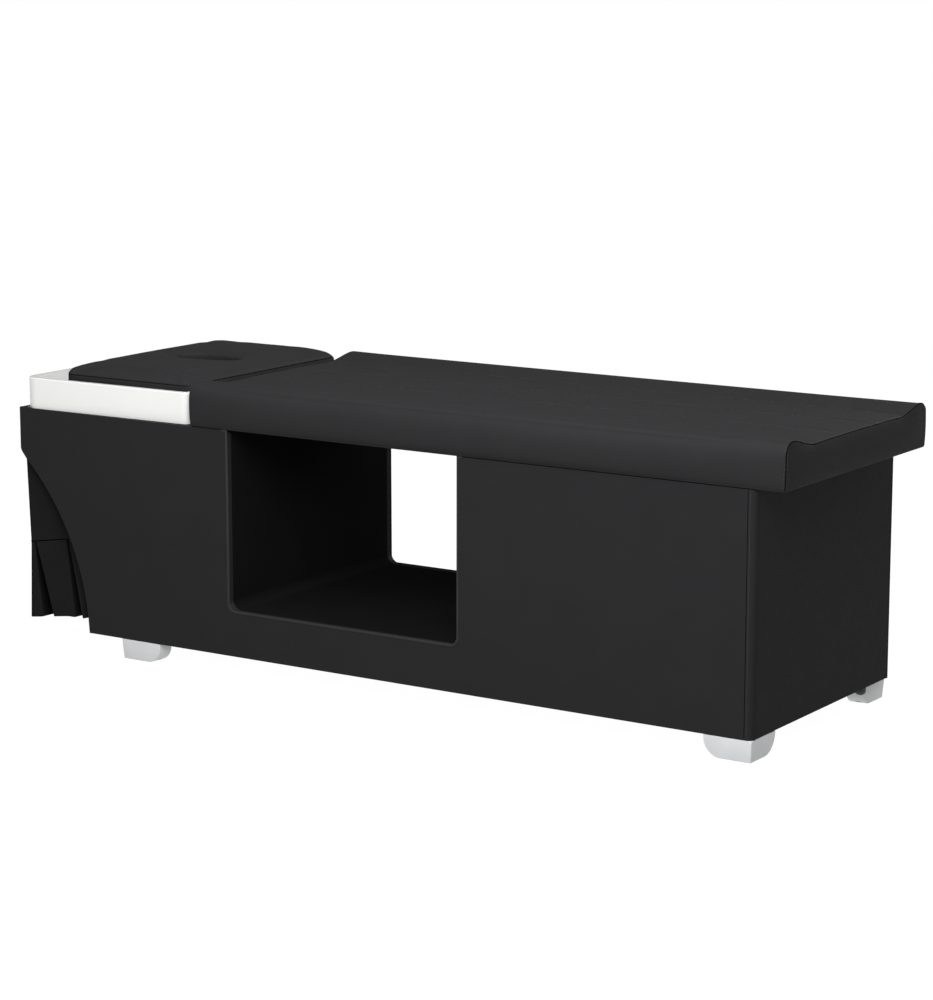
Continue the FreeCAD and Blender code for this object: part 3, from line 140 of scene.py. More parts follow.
# Feet: four corner feet moulded in light grey ABS, two webs each with a generous round under
# their free ends, drawn in a little towards the floor and screwed up into the base board.
def satin_abs():
    """Moulded ABS with a fine spark-eroded texture: an even silver grey with a soft sheen."""
    made = blank_material("abs_moulded_silver_grey")
    place = add(made, "ShaderNodeTexCoord").outputs["Object"]
    # The real texture has 0.1 mm pits, drawn at 1.5 mm to show at all
    pits = add(made, "ShaderNodeTexNoise", {"Vector": place, "Scale": 1 / 0.0015, "Detail": 2.0})
    flow = add(made, "ShaderNodeTexNoise", {"Vector": place, "Scale": 1 / 0.05, "Detail": 2.0})
    tint = blend(made, flow.outputs["Fac"], "#A7A8A9", "#B2B3B4")
    bump = add(made, "ShaderNodeBump", {"Height": pits.outputs["Fac"], "Strength": 0.15,
                                        "Distance": 0.0002})
    return output(made, add(made, "ShaderNodeBsdfPrincipled", {
        "Base Color": tint, "Roughness": 0.38, "Normal": bump.outputs["Normal"]}))


foot_material = satin_abs()


def start(primitive, **place):
    """Adds one primitive with nothing else selected, and gives its object."""
    bpy.ops.object.select_all(action="DESELECT")
    primitive(**place)
    return bpy.context.object


def pick(piece):
    """Selects one piece alone and makes it the active one."""
    bpy.ops.object.select_all(action="DESELECT")
    piece.select_set(True)
    bpy.context.view_layer.objects.active = piece


def apply_place(piece):
    """Puts the object's place, turn and scale into its mesh."""
    pick(piece)
    bpy.ops.object.transform_apply(location=True, rotation=True, scale=True)


def shape_modifier(piece, kind, **settings):
    """Adds a modifier and applies it at once."""
    pick(piece)
    modifier = piece.modifiers.new(kind.lower(), kind)
    for name, value in settings.items():
        setattr(modifier, name, value)
    bpy.ops.object.modifier_apply(modifier=modifier.name)


def choose_edges(piece, wanted):
    """Selects the edges whose two ends suit the test, and stays in edit mode."""
    bpy.ops.object.mode_set(mode="EDIT")
    bpy.ops.mesh.select_mode(type="EDGE")
    bpy.ops.mesh.select_all(action="DESELECT")
    bpy.ops.object.mode_set(mode="OBJECT")
    corners = piece.data.vertices
    for edge in piece.data.edges:
        edge.select = wanted(*(corners[number].co for number in edge.vertices))
    bpy.ops.object.mode_set(mode="EDIT")


def choose_faces(piece, wanted):
    """Selects the faces whose centre and normal suit the test, and stays in edit mode."""
    bpy.ops.object.mode_set(mode="EDIT")
    bpy.ops.mesh.select_mode(type="FACE")
    bpy.ops.mesh.select_all(action="DESELECT")
    bpy.ops.object.mode_set(mode="OBJECT")
    for face in piece.data.polygons:
        face.select = wanted(face.center, face.normal)
    bpy.ops.object.mode_set(mode="EDIT")


def settle(piece, name, material, body):
    """Names a finished piece, and gives it its material and body."""
    piece.name = name
    piece.data.name = name
    piece.data.materials.clear()
    piece.data.materials.append(material)
    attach(piece, body)
    return piece


FOOT_REACH_X, FOOT_REACH_Y, FOOT_WEB, FOOT_HEIGHT = 0.119, 0.111, 0.046, 0.050
FOOT_ROUND, FOOT_DRAFT, FOOT_EDGE = 0.038, 0.0035, 0.0018
SCREW_WELL, WELL_DEPTH = 0.0073, 0.060
# How far apart two places may be and still count as the same
SAME = 1e-5


def corner_foot():
    """A foot with its upright corner at the origin and its webs along +X and +Y."""
    foot = start(bpy.ops.mesh.primitive_cube_add, size=1,
                 location=(FOOT_REACH_X / 2, FOOT_WEB / 2, FOOT_HEIGHT / 2),
                 scale=(FOOT_REACH_X, FOOT_WEB, FOOT_HEIGHT))
    apply_place(foot)
    bpy.ops.object.mode_set(mode="EDIT")
    bpy.ops.mesh.select_all(action="SELECT")
    bpy.ops.mesh.bisect(plane_co=(FOOT_WEB, 0, 0), plane_no=(1, 0, 0))
    choose_faces(foot, lambda at, way: way.y > 0.9 and at.x < FOOT_WEB)
    bpy.ops.mesh.extrude_region_move(
        TRANSFORM_OT_translate={"value": (0, FOOT_REACH_Y - FOOT_WEB, 0)})
    choose_edges(foot, lambda a, b: max(a.z, b.z) < SAME and (
        min(a.x, b.x) > FOOT_REACH_X - SAME or min(a.y, b.y) > FOOT_REACH_Y - SAME))
    bpy.ops.mesh.bevel(offset=FOOT_ROUND, segments=14)
    bpy.ops.object.mode_set(mode="OBJECT")
    for corner in foot.data.vertices:
        at = corner.co
        lean = FOOT_DRAFT * (1 - at.z / FOOT_HEIGHT)
        at.x += lean * (1 if at.x < FOOT_WEB / 2 else -1 if at.y < FOOT_WEB else 0)
        at.y += lean * (1 if at.y < FOOT_WEB / 2 else -1 if at.x < FOOT_WEB else 0)
    shape_modifier(foot, "BEVEL", width=FOOT_EDGE, segments=3, limit_method="ANGLE",
                   angle_limit=math.radians(40))
    for x, y in ((FOOT_WEB / 2, FOOT_WEB / 2), (FOOT_REACH_X - FOOT_WEB / 2, FOOT_WEB / 2),
                 (FOOT_WEB / 2, FOOT_REACH_Y - FOOT_WEB / 2)):
        well = start(bpy.ops.mesh.primitive_cylinder_add, vertices=24, radius=SCREW_WELL,
                     depth=WELL_DEPTH, location=(x, y, 0.0))
        shape_modifier(foot, "BOOLEAN", operation="DIFFERENCE", object=well, solver="EXACT")
        bpy.data.objects.remove(well)
    pick(foot)
    bpy.ops.object.shade_smooth_by_angle(angle=math.radians(35))
    return foot


# corner x and y, and the way each web runs
FOOT_PLACES = {
    "foot_near_foot_end": (0.995, -0.340, -1, 1),
    "foot_far_foot_end": (0.983, 0.340, -1, -1),
    "foot_near_head_end": (-0.745, -0.340, 1, 1),
    "foot_far_head_end": (-0.745, 0.340, 1, -1),
}
pattern_foot = corner_foot()
for name, (x, y, way_x, way_y) in FOOT_PLACES.items():
    foot = pattern_foot.copy()
    foot.data = pattern_foot.data.copy()
    bpy.context.collection.objects.link(foot)
    foot.data.transform(Matrix.Diagonal((way_x, way_y, 1, 1)))
    foot.data.transform(Matrix.Translation((x, y, 0)))
    if way_x * way_y < 0:
        foot.data.flip_normals()
    settle(foot, name + "_moulded", foot_material, "base")
    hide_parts(name)
bpy.data.objects.remove(pattern_foot)


# The covers of the base: black PU leatherette stretched over thin wadding on each plywood panel,
# stapled behind. Its coat has a fine pebble grain and draws broad, soft highlights.
def leatherette(name, black, worn, shine, grain, slack, painted_shade_attribute=None):
    """PU leatherette, coated and embossed: satin black with a fine pebble grain. black and worn
    are the two tones of the coat and shine its gloss, grain is the height of the pebbles and
    slack that of the broad waves of a stretched cover. The last argument names an attribute of
    the mesh that tells how far a point lies inside a fold, where the colour is mixed towards near
    black as painted shade."""
    made = blank_material(name)
    place = add(made, "ShaderNodeTexCoord").outputs["Object"]
    # Real pebbles are 0.8 mm wide, drawn at 2.2 mm so that they still break up a highlight
    pebbles = add(made, "ShaderNodeTexVoronoi", {"Vector": place, "Scale": 1 / 0.0022},
                  feature="SMOOTH_F1")
    creases = add(made, "ShaderNodeTexNoise", {"Vector": place, "Scale": 1 / 0.012, "Detail": 5.0})
    waves = add(made, "ShaderNodeTexNoise", {"Vector": place, "Scale": 1 / 0.16, "Detail": 2.0})
    blotch = add(made, "ShaderNodeTexNoise", {"Vector": place, "Scale": 1 / 0.09, "Detail": 3.0})
    tint = blend(made, blotch.outputs["Fac"], black, worn)
    # Painted shade: deep in a fold, as the attribute tells, the colour is mixed towards near black
    if painted_shade_attribute:
        inside = add(made, "ShaderNodeAttribute", attribute_name=painted_shade_attribute)
        tint = add(made, "ShaderNodeMix", {0: inside.outputs["Fac"], 6: tint, 7: linear("#020202")},
                   data_type="RGBA").outputs[2]
    gloss = add(made, "ShaderNodeMapRange", {"Value": creases.outputs["Fac"], "From Min": 0.3,
                                             "From Max": 0.7, "To Min": 0.40, "To Max": 0.52})
    broad = add(made, "ShaderNodeBump", {"Height": waves.outputs["Fac"], "Strength": 1.0,
                                         "Distance": slack})
    middle = add(made, "ShaderNodeBump", {"Height": creases.outputs["Fac"], "Strength": 0.5,
                                          "Distance": grain * 2, "Normal": broad.outputs["Normal"]})
    fine = add(made, "ShaderNodeBump", {"Height": pebbles.outputs["Distance"], "Strength": 0.6,
                                        "Distance": grain, "Normal": middle.outputs["Normal"]})
    return output(made, add(made, "ShaderNodeBsdfPrincipled", {
        "Base Color": tint, "Roughness": gloss.outputs["Result"],
        "Normal": fine.outputs["Normal"], "Specular IOR Level": shine}))


def dress(material, *nodes):
    """Gives solids of the frame their material."""
    for name in nodes:
        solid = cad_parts[name]
        for place in solid.material_slots:
            place.material = material


BASE_COVERS = ("side_cover_near", "side_cover_far", "foot_end_cover", "apron_cover")
WRAP_ROUND, WRAP_ANGLE, JOIN_WITHIN = 0.0045, math.radians(55), 0.0001
cover_material = leatherette("pu_leatherette_embossed_base", "#1E1E1F", "#212122",
                             0.01, 0.00018, 0.0009)
dress(cover_material, *BASE_COVERS)
# Their faces are joined, and their edges rounded as the leatherette goes round them
for name in BASE_COVERS:
    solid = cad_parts[name]
    solid.modifiers.new("join_faces", "WELD").merge_threshold = JOIN_WITHIN
    rounded = solid.modifiers.new("soft_edges", "BEVEL")
    rounded.width, rounded.segments, rounded.limit_method = WRAP_ROUND, 4, "ANGLE"
    rounded.angle_limit, rounded.harden_normals = WRAP_ANGLE, False
    solid.modifiers.new("flat_faces", "WEIGHTED_NORMAL").keep_sharp = False
# The lining is a darker copy of the covers' leatherette: painted shade for the dim inside of the box
# and the boards in its recesses
lining_painted_shade_material = leatherette("pu_leatherette_lining_painted_shade", "#0F0F10", "#121213",
                              0.0, 0.00014, 0.0006)
# The boards that show beside the leg room, behind the curtain and under the neck are wrapped too
dress(lining_painted_shade_material, "tunnel_lining", "side_panel_near", "side_panel_far", "neck_deck",
      "bulkhead", "apron_board", "toe_rail", "base_board")


# Seams of the base: near each foot-end corner a seam runs up the side cover, top-stitched with
# light thread, and a corded edge goes round both ends of the opening through the box.
def thread(name, tone, tone_far):
    """Spun polyester thread: dull, with a fine twist."""
    made = blank_material(name)
    place = add(made, "ShaderNodeTexCoord").outputs["Object"]
    twist = add(made, "ShaderNodeTexWave", {"Vector": place, "Scale": 260.0, "Distortion": 1.0})
    tint = blend(made, twist.outputs["Fac"], tone, tone_far)
    return output(made, add(made, "ShaderNodeBsdfPrincipled", {
        "Base Color": tint, "Roughness": 0.8, "Specular IOR Level": 0.0}))


light_thread = thread("polyester_thread_light_grey", "#2D2D2D", "#3D3D3D")
dark_thread = thread("polyester_thread_black", "#020202", "#050505")
STITCH_LENGTH, STITCH_PITCH, STITCH_THICK = 0.0046, 0.0062, 0.0011
# How much stitches differ in length, and how far they stand up, as a share of their thickness
STITCH_VARIES, STITCH_LIFT = 0.12, 0.15
BASE_SEAM, COVER_SEAM = 0.0014, 0.0016


def one_stitch():
    """A stitch along +X at the origin, lying in the plane across Z, with its ends drawn down."""
    stitch = start(bpy.ops.mesh.primitive_cylinder_add, vertices=6, radius=STITCH_THICK / 2,
                   depth=STITCH_LENGTH, rotation=(0, math.pi / 2, 0))
    apply_place(stitch)
    bpy.ops.object.mode_set(mode="EDIT")
    bpy.ops.mesh.select_all(action="SELECT")
    for place in (-STITCH_LENGTH / 4, STITCH_LENGTH / 4):
        bpy.ops.mesh.bisect(plane_co=(place, 0, 0), plane_no=(1, 0, 0))
        bpy.ops.mesh.select_all(action="SELECT")
    bpy.ops.object.mode_set(mode="OBJECT")
    for corner in stitch.data.vertices:
        if abs(corner.co.x) > STITCH_LENGTH * 0.4:
            corner.co.y *= 0.5
            corner.co.z = corner.co.z * 0.5 - STITCH_THICK * 0.35
    return stitch


pattern_stitch = one_stitch()
pattern_stitch.hide_render = True


def build(name, points, faces):
    """An object made of points and faces."""
    mesh = bpy.data.meshes.new(name)
    mesh.from_pydata(points, [], faces)
    mesh.update()
    built = bpy.data.objects.new(name, mesh)
    bpy.context.collection.objects.link(built)
    return built


def surface_of(piece):
    """The piece's finished faces, to find the nearest place on them."""
    return BVHTree.FromObject(piece, bpy.context.evaluated_depsgraph_get())


def sew(name, line, body, way_out, surface=None, pitch=STITCH_PITCH, skip=0.0):
    """Lays light stitches along a line of points, on the nearest part of a surface if one is
    given. way_out is the way the stitches face where there is none, and skip the share of them
    that have sunk out of sight."""
    random.seed(len(name))
    line = [Vector(point) for point in line]
    spans = [(a, b, (b - a).length) for a, b in zip(line, line[1:])]
    total = sum(span for _, _, span in spans)
    template = np.array([corner.co for corner in pattern_stitch.data.vertices])
    faces = [tuple(face.vertices) for face in pattern_stitch.data.polygons]
    points, sides = [], []
    for number in range(int(total / pitch)):
        want = (number + 0.5) * pitch
        for a, b, span in spans:
            if want <= span:
                at, way = a.lerp(b, want / span), (b - a).normalized()
                break
            want -= span
        normal = Vector(way_out)
        if surface:
            at, normal, _, _ = surface.find_nearest(at)
        if random.random() < skip:
            continue
        way = (way - normal * way.dot(normal)).normalized()
        turn = np.array((way, normal.cross(way), normal))
        scale = pitch / STITCH_PITCH * (1 + random.uniform(-STITCH_VARIES, STITCH_VARIES))
        base = len(points) * len(template)
        lifted = np.array(at + normal * STITCH_THICK * STITCH_LIFT)
        points.append(template * (scale, 1, 1) @ turn + lifted)
        sides += [tuple(base + corner for corner in face) for face in faces]
    row = build(name, np.concatenate(points).tolist(), sides)
    return settle(row, name, light_thread, body)


def cord(name, line, thick, material, body, closed=False):
    """A round cord laid along a line of points."""
    path = bpy.data.curves.new(name, "CURVE")
    path.dimensions = "3D"
    path.bevel_depth, path.bevel_resolution, path.use_fill_caps = thick / 2, 2, True
    run = path.splines.new("POLY")
    run.points.add(len(line) - 1)
    for point, at in zip(run.points, line):
        point.co = (*at, 1)
    run.use_cyclic_u = closed
    laid = bpy.data.objects.new(name, path)
    bpy.context.collection.objects.link(laid)
    pick(laid)
    bpy.ops.object.convert(target="MESH")
    bpy.ops.object.shade_smooth()
    return settle(bpy.context.object, name, material, body)


# Drawn tight over the cord, the leatherette is smoother, with a little more gloss; its lighter tone
# is a painted highlight along the opening's edge
edge_highlight_material = leatherette("pu_leatherette_edge_painted_highlight", "#262627", "#2A2A2B",
                            0.03, 0.0001, 0.0003)
BASE_SIDE, BASE_LOW, BASE_TOP = 0.340, 0.0535, 0.5935
SEAM_X, TOP_STITCH_X = 0.976, 0.9815
OPENING_HEAD, OPENING_FOOT, OPENING_FLOOR, OPENING_CORNER = -0.412, 0.240, 0.160, 0.022
# How far the cord lies outside the opening's edge, under the cover and past the top corner
EDGE_CORD, EDGE_OUT, EDGE_IN, EDGE_OVER, EDGE_TOP = 0.007, 0.0015, 0.0020, 0.014, 0.5948
for side, out in (("near", -1), ("far", 1)):
    cord(f"base_corner_seam_{side}",
         [(SEAM_X, out * BASE_SIDE, z) for z in (BASE_LOW, BASE_TOP)],
         BASE_SEAM, dark_thread, "base")
    sew(f"base_corner_stitches_{side}",
        [(TOP_STITCH_X, out * BASE_SIDE, z) for z in (BASE_LOW, BASE_TOP)],
        "base", (0, out, 0))
    edge_x, edge_z = OPENING_HEAD - EDGE_OUT, OPENING_FLOOR - EDGE_OUT
    corner = [(edge_x + OPENING_CORNER * (1 - math.cos(turn)),
               edge_z + OPENING_CORNER * (1 - math.sin(turn)))
              for turn in np.linspace(0, math.pi / 2, 9)]
    run = [(edge_x - EDGE_OVER, EDGE_TOP), (edge_x, EDGE_TOP)] + corner
    run += [(OPENING_HEAD + OPENING_FOOT - x, z) for x, z in reversed(run)]
    cord(f"leg_room_edge_{side}", [(x, out * (BASE_SIDE - EDGE_IN), z) for x, z in run], EDGE_CORD,
         edge_highlight_material, "base")


# The box itself: birch plywood panels and pine posts inside the covers, and a black spun cloth
# stapled under the box and under the mattress's board.
def birch_plywood():
    """Birch plywood, rotary cut and sanded: pale straw with long soft growth figure."""
    made = blank_material("birch_plywood_sanded")
    place = add(made, "ShaderNodeTexCoord").outputs["Object"]
    along = add(made, "ShaderNodeMapping", {"Vector": place, "Scale": (1.0, 14.0, 14.0)})
    figure = add(made, "ShaderNodeTexNoise", {"Vector": along.outputs["Vector"], "Scale": 6.0,
                                              "Detail": 6.0, "Distortion": 0.8})
    tint = blend(made, figure.outputs["Fac"], "#C9A877", "#DEC79C")
    bump = add(made, "ShaderNodeBump", {"Height": figure.outputs["Fac"], "Strength": 0.2,
                                        "Distance": 0.0003})
    return output(made, add(made, "ShaderNodeBsdfPrincipled", {
        "Base Color": tint, "Roughness": 0.62, "Normal": bump.outputs["Normal"]}))


def pine():
    """Sawn and planed pine: warm yellow with darker lines of late wood."""
    made = blank_material("pine_planed")
    place = add(made, "ShaderNodeTexCoord").outputs["Object"]
    rings = add(made, "ShaderNodeTexWave", {"Vector": place, "Scale": 30.0, "Distortion": 5.0,
                                            "Detail": 3.0}, bands_direction="DIAGONAL")
    tint = blend(made, rings.outputs["Fac"], "#D9B47A", "#B98A52")
    return output(made, add(made, "ShaderNodeBsdfPrincipled", {
        "Base Color": tint, "Roughness": 0.58}))


def spun_cloth():
    """Spun-bonded polypropylene: a thin black felt of pressed fibres, quite dull."""
    made = blank_material("polypropylene_spunbond")
    place = add(made, "ShaderNodeTexCoord").outputs["Object"]
    fibres = add(made, "ShaderNodeTexNoise", {"Vector": place, "Scale": 1 / 0.003, "Detail": 6.0})
    bump = add(made, "ShaderNodeBump", {"Height": fibres.outputs["Fac"], "Strength": 0.6,
                                        "Distance": 0.0004})
    tint = blend(made, fibres.outputs["Fac"], "#101010", "#222222")
    return output(made, add(made, "ShaderNodeBsdfPrincipled", {
        "Base Color": tint, "Roughness": 0.92, "Normal": bump.outputs["Normal"]}))


dress(birch_plywood(), "foot_end_panel", "tunnel_floor", "tunnel_head_wall", "tunnel_foot_wall",
      "foot_pod_deck", "head_cushion_board")
dress(pine(), "tunnel_coves", "head_pod_posts", "foot_pod_posts", "basin_rails", "curtain_rail")
dress(spun_cloth(), "bottom_cloth", "mattress_board")


# The basin: one moulding of white acrylic, vacuum formed over a male tool and polished, with its
# skirt over the base, a sunk deck for the tap and a deep bowl.
def gloss_plain(name, tone, tone_far, rough, grain, coat):
    """A moulded and polished plain material: an even tone with a faint drift, and slight
    unevenness of the surface that only shows in reflections."""
    made = blank_material(name)
    place = add(made, "ShaderNodeTexCoord").outputs["Object"]
    drift = add(made, "ShaderNodeTexNoise", {"Vector": place, "Scale": 1 / 0.12, "Detail": 2.0})
    pull = add(made, "ShaderNodeTexNoise", {"Vector": place, "Scale": 1 / 0.03, "Detail": 1.0})
    tint = blend(made, drift.outputs["Fac"], tone, tone_far)
    bump = add(made, "ShaderNodeBump", {"Height": pull.outputs["Fac"], "Strength": 0.4,
                                        "Distance": grain})
    return output(made, add(made, "ShaderNodeBsdfPrincipled", {
        "Base Color": tint, "Roughness": rough, "Normal": bump.outputs["Normal"],
        "Coat Weight": coat, "Coat Roughness": 0.08}))


dress(gloss_plain("acrylic_sheet_vacuum_formed", "#C0C0BF", "#C6C6C5", 0.22, 0.0002, 0.4),
      "basin")


# Tap, spray and waste: chromed brass, pressed stainless steel, galvanised screws, bare brass,
# black rubber and white polypropylene.
def metal(name, tone, rough_low, rough_high, grain_mm):
    """A bare or plated metal: its own colour, with roughness that varies over fine wear, whose
    marks are grain_mm wide."""
    made = blank_material(name)
    place = add(made, "ShaderNodeTexCoord").outputs["Object"]
    wear = add(made, "ShaderNodeTexNoise", {"Vector": place, "Scale": 1000 / grain_mm,
                                            "Detail": 4.0})
    rough = add(made, "ShaderNodeMapRange", {"Value": wear.outputs["Fac"], "To Min": rough_low,
                                             "To Max": rough_high})
    return output(made, add(made, "ShaderNodeBsdfPrincipled", {
        "Base Color": linear(tone), "Metallic": 1.0, "Roughness": rough.outputs["Result"]}))


dress(metal("brass_chrome_plated", "#D9DBDD", 0.04, 0.12, 9), "mixer_body", "mixer_dome",
      "mixer_lever", "spray_head", "spray_socket")
dress(metal("stainless_steel_brushed", "#C4C5C4", 0.2, 0.34, 3), "drain_flange", "drain_strainer")
dress(metal("steel_zinc_plated", "#B4B8BD", 0.3, 0.5, 2), "foot_screws", "mattress_bolts")
dress(metal("brass_turned", "#C9A45A", 0.18, 0.34, 4), "mixer_nut", "mixer_inlets",
      "spray_socket_nut")
dress(gloss_plain("rubber_moulded_black", "#141414", "#1D1D1D", 0.62, 0.0001, 0.0), "drain_gasket",
      "spray_face", "floor_buffer")
dress(gloss_plain("polypropylene_moulded_white", "#E4E5E2", "#ECECEA", 0.4, 0.0001, 0.0),
      "drain_nut", "waste_union_nut", "waste_tail", "trap_body", "trap_cup", "mixer_cartridge")


# The mattress: a slab of foam with raised side bolsters under one sewn cover of black PU
# leatherette. The cover is boxed at its ends, quilted along four lines, and swells between them.
MATTRESS_HEAD, MATTRESS_FOOT, MATTRESS_HALF = -0.524, 1.065, 0.345
MATTRESS_LOW, MATTRESS_HIGH = 0.5985, 0.703
PEAK_IN, VALLEY_IN, VALLEY_DROP, CROWN = 0.023, 0.135, 0.016, 0.002
END_DIP, END_DIP_LENGTH = 0.004, 0.070
SIDE_ROUND, HEAD_ROUND, SIDE_BULGE, FOOT_BULGE = 0.031, 0.012, 0.003, 0.006
FOOT_CORNER, HEAD_CORNER, CORNER_BULGE = 0.006, 0.016, 0.35
# The cover turns in under the foam at the foot of its sides, over this share of their height
TUCK, TUCK_SHARE = 0.004, 0.12
# How far the cover may swell on its top and on its sides, and how firmly the quilting holds it
SWELL_TOP, SWELL_SIDE, QUILT_HOLD = 0.002, 0.005, 0.6
UNDER_MARGIN, UNDER_REACH, UNDER_RISE = 0.0085, 0.004, 0.0100
QUILT_LINES = (-0.225, -0.075, 0.075, 0.225)
QUILT_HEAD, QUILT_FOOT = -0.524, 1.046
QUILT_DEPTH, QUILT_WIDTH, QUILT_FADE, QUILT_ABOVE = 0.0007, 0.004, 0.02, 0.66
PUCKER_LONG, PUCKER_WIDE, PUCKER_SHARE = 0.018, 0.05, 0.5


def ease(share):
    """A share of the way that starts and ends gently."""
    share = np.clip(share, 0, 1)
    return share * share * (3 - 2 * share)


def mattress_top(x, y):
    """The height of the mattress's top before it swells."""
    out = np.abs(y)
    dip = END_DIP * ease((x - (MATTRESS_FOOT - END_DIP_LENGTH)) / END_DIP_LENGTH)
    valley = MATTRESS_HIGH - VALLEY_DROP - dip
    valley_y, peak_y = MATTRESS_HALF - VALLEY_IN, MATTRESS_HALF - PEAK_IN
    top = valley + CROWN * (1 - np.clip(out / valley_y, 0, 1) ** 2)
    return top + (MATTRESS_HIGH - valley) * ease((out - valley_y) / (peak_y - valley_y))


def points_of(piece):
    """The places of the piece's corners, one to a row."""
    flat = np.zeros(len(piece.data.vertices) * 3)
    piece.data.vertices.foreach_get("co", flat)
    return flat.reshape(-1, 3)


def set_points(piece, points):
    """Puts the piece's corners at new places."""
    piece.data.vertices.foreach_set("co", np.ascontiguousarray(points).ravel())
    piece.data.update()


SWELL_FRAMES = 20
# No distance is divided by less than this
LEAST = 1e-9


def swell(piece, pressure, reach, held):
    """Blows a closed cover up as its foam does. Points with held = 1 stay, and none goes further
    than reach."""
    rest = points_of(piece)
    group = piece.vertex_groups.new(name="held")
    for number in np.nonzero(held > 0.01)[0]:
        group.add([int(number)], float(held[number]), "REPLACE")
    pick(piece)
    cloth = piece.modifiers.new("cloth", "CLOTH")
    for name, value in dict(
            quality=5, mass=0.4, tension_stiffness=30, compression_stiffness=30,
            shear_stiffness=12, bending_stiffness=12, use_pressure=True,
            uniform_pressure_force=pressure, vertex_group_mass="held").items():
        setattr(cloth.settings, name, value)
    cloth.settings.effector_weights.gravity = 0
    cloth.collision_settings.use_collision = False
    cloth.point_cache.frame_start, cloth.point_cache.frame_end = 1, SWELL_FRAMES
    for number in range(1, SWELL_FRAMES + 1):
        bpy.context.scene.frame_set(number)
    bpy.ops.object.modifier_apply(modifier=cloth.name)
    bpy.context.scene.frame_set(1)
    step = points_of(piece) - rest
    far = np.linalg.norm(step, axis=1, keepdims=True)
    reach = np.reshape(reach, (-1, 1))
    set_points(piece, rest + step * np.minimum(1, reach / np.maximum(far, LEAST)))
    piece.vertex_groups.clear()


def round_off(points, first, second, corner_first, corner_second, radius):
    """Draws one corner of a section in to a radius. first and second are the axes of the
    section, and the corners' signs tell which way they point."""
    centre_first = corner_first - np.sign(corner_first) * radius
    centre_second = corner_second - np.sign(corner_second) * radius
    a = (points[:, first] - centre_first) * np.sign(corner_first)
    b = (points[:, second] - centre_second) * np.sign(corner_second)
    there = (a > 0) & (b > 0)
    scale = np.maximum(a, b) / np.maximum(np.hypot(a, b), LEAST)
    points[there, first] = (centre_first + a * scale * np.sign(corner_first))[there]
    points[there, second] = (centre_second + b * scale * np.sign(corner_second))[there]


def draw_up(points, head, foot, half, margin, below, height):
    """Draws an underside up to a height, for the board, inside a margin round its edge."""
    under = (points[:, 2] < below) & (np.abs(points[:, 1]) < half - margin)
    under &= (points[:, 0] > head + margin) & (points[:, 0] < foot - margin)
    points[under, 2] = height


MATTRESS_LENGTH, MATTRESS_HEIGHT = MATTRESS_FOOT - MATTRESS_HEAD, MATTRESS_HIGH - MATTRESS_LOW
# Where the lines of the net lie: out from the middle and in from each end, both in millimetres,
# and up the sides as shares of their height
LINES_OUT = (0, 17, 34, 51, 64, 70, 75, 80, 86, 99, 117, 140, 163, 186, 204, 214, 220, 225, 230,
             236, 247, 259, 270, 281, 291, 300, 309, 317, 325, 332, 338, 342.5, 345)
LINES_IN = (0, 1.5, 5, 11, 19, 29, 40)
LINES_UP = (0, 0.03, 0.09, 0.19, 0.32, 0.46, 0.60, 0.73, 0.85, 0.94, 1)
NET_LONG, NET_WIDE = 144, 2 * (len(LINES_OUT) - 1)
# What counts as at the bottom or the top of the height, and as on an edge or a line
AT_BOTTOM, AT_TOP, ON_EDGE, ON_LINE = 0.02, 0.99, 0.0005, 0.001
mattress = start(bpy.ops.mesh.primitive_grid_add, size=1,
                 x_subdivisions=NET_LONG, y_subdivisions=NET_WIDE,
                 location=((MATTRESS_HEAD + MATTRESS_FOOT) / 2, 0, MATTRESS_HIGH))
mattress.scale = (MATTRESS_LENGTH, 2 * MATTRESS_HALF, 1)
apply_place(mattress)
shape_modifier(mattress, "SOLIDIFY", thickness=MATTRESS_HEIGHT, offset=-1)
choose_edges(mattress, lambda a, b: abs(a.z - b.z) > MATTRESS_HEIGHT / 2)
bpy.ops.mesh.subdivide(number_cuts=len(LINES_UP) - 2)
bpy.ops.object.mode_set(mode="OBJECT")
body = points_of(mattress)
step = np.arange(NET_LONG + 1)
ends = len(LINES_IN)
# The net's even steps are moved to the lines
along = np.interp(step, (ends - 1, NET_LONG - ends + 1),
                  (MATTRESS_HEAD + LINES_IN[-1] / 1000, MATTRESS_FOOT - LINES_IN[-1] / 1000))
along[:ends] = MATTRESS_HEAD + np.array(LINES_IN) / 1000
along[-ends:] = MATTRESS_FOOT - np.array(LINES_IN[::-1]) / 1000
across = np.array([-y for y in LINES_OUT[:0:-1]] + list(LINES_OUT)) / 1000
body[:, 0] = along[np.rint((body[:, 0] - MATTRESS_HEAD) / MATTRESS_LENGTH * NET_LONG).astype(int)]
body[:, 1] = across[np.rint((body[:, 1] / MATTRESS_HALF + 1) / 2 * NET_WIDE).astype(int)]
rise = np.rint((body[:, 2] - MATTRESS_LOW) / MATTRESS_HEIGHT * (len(LINES_UP) - 1)).astype(int)
share = np.array(LINES_UP)[rise]
top_z = mattress_top(body[:, 0], body[:, 1])
body[:, 2] = MATTRESS_LOW + share * (top_z - MATTRESS_LOW)
# What the sewing holds, and how far the rest may swell
on_top = share > AT_TOP
foot_seam = body[:, 0] > MATTRESS_FOOT - ON_EDGE
side_edge = np.abs(body[:, 1]) > MATTRESS_HALF - ON_EDGE
end_outline = foot_seam & (side_edge | on_top)
held = np.where((share < AT_BOTTOM) | end_outline, 1.0, 0.0)
for line in QUILT_LINES:
    sewn = on_top & (np.abs(body[:, 1] - line) < ON_LINE) & (body[:, 0] < QUILT_FOOT)
    held[sewn] = QUILT_HOLD
reach = np.where(on_top, SWELL_TOP, SWELL_SIDE)
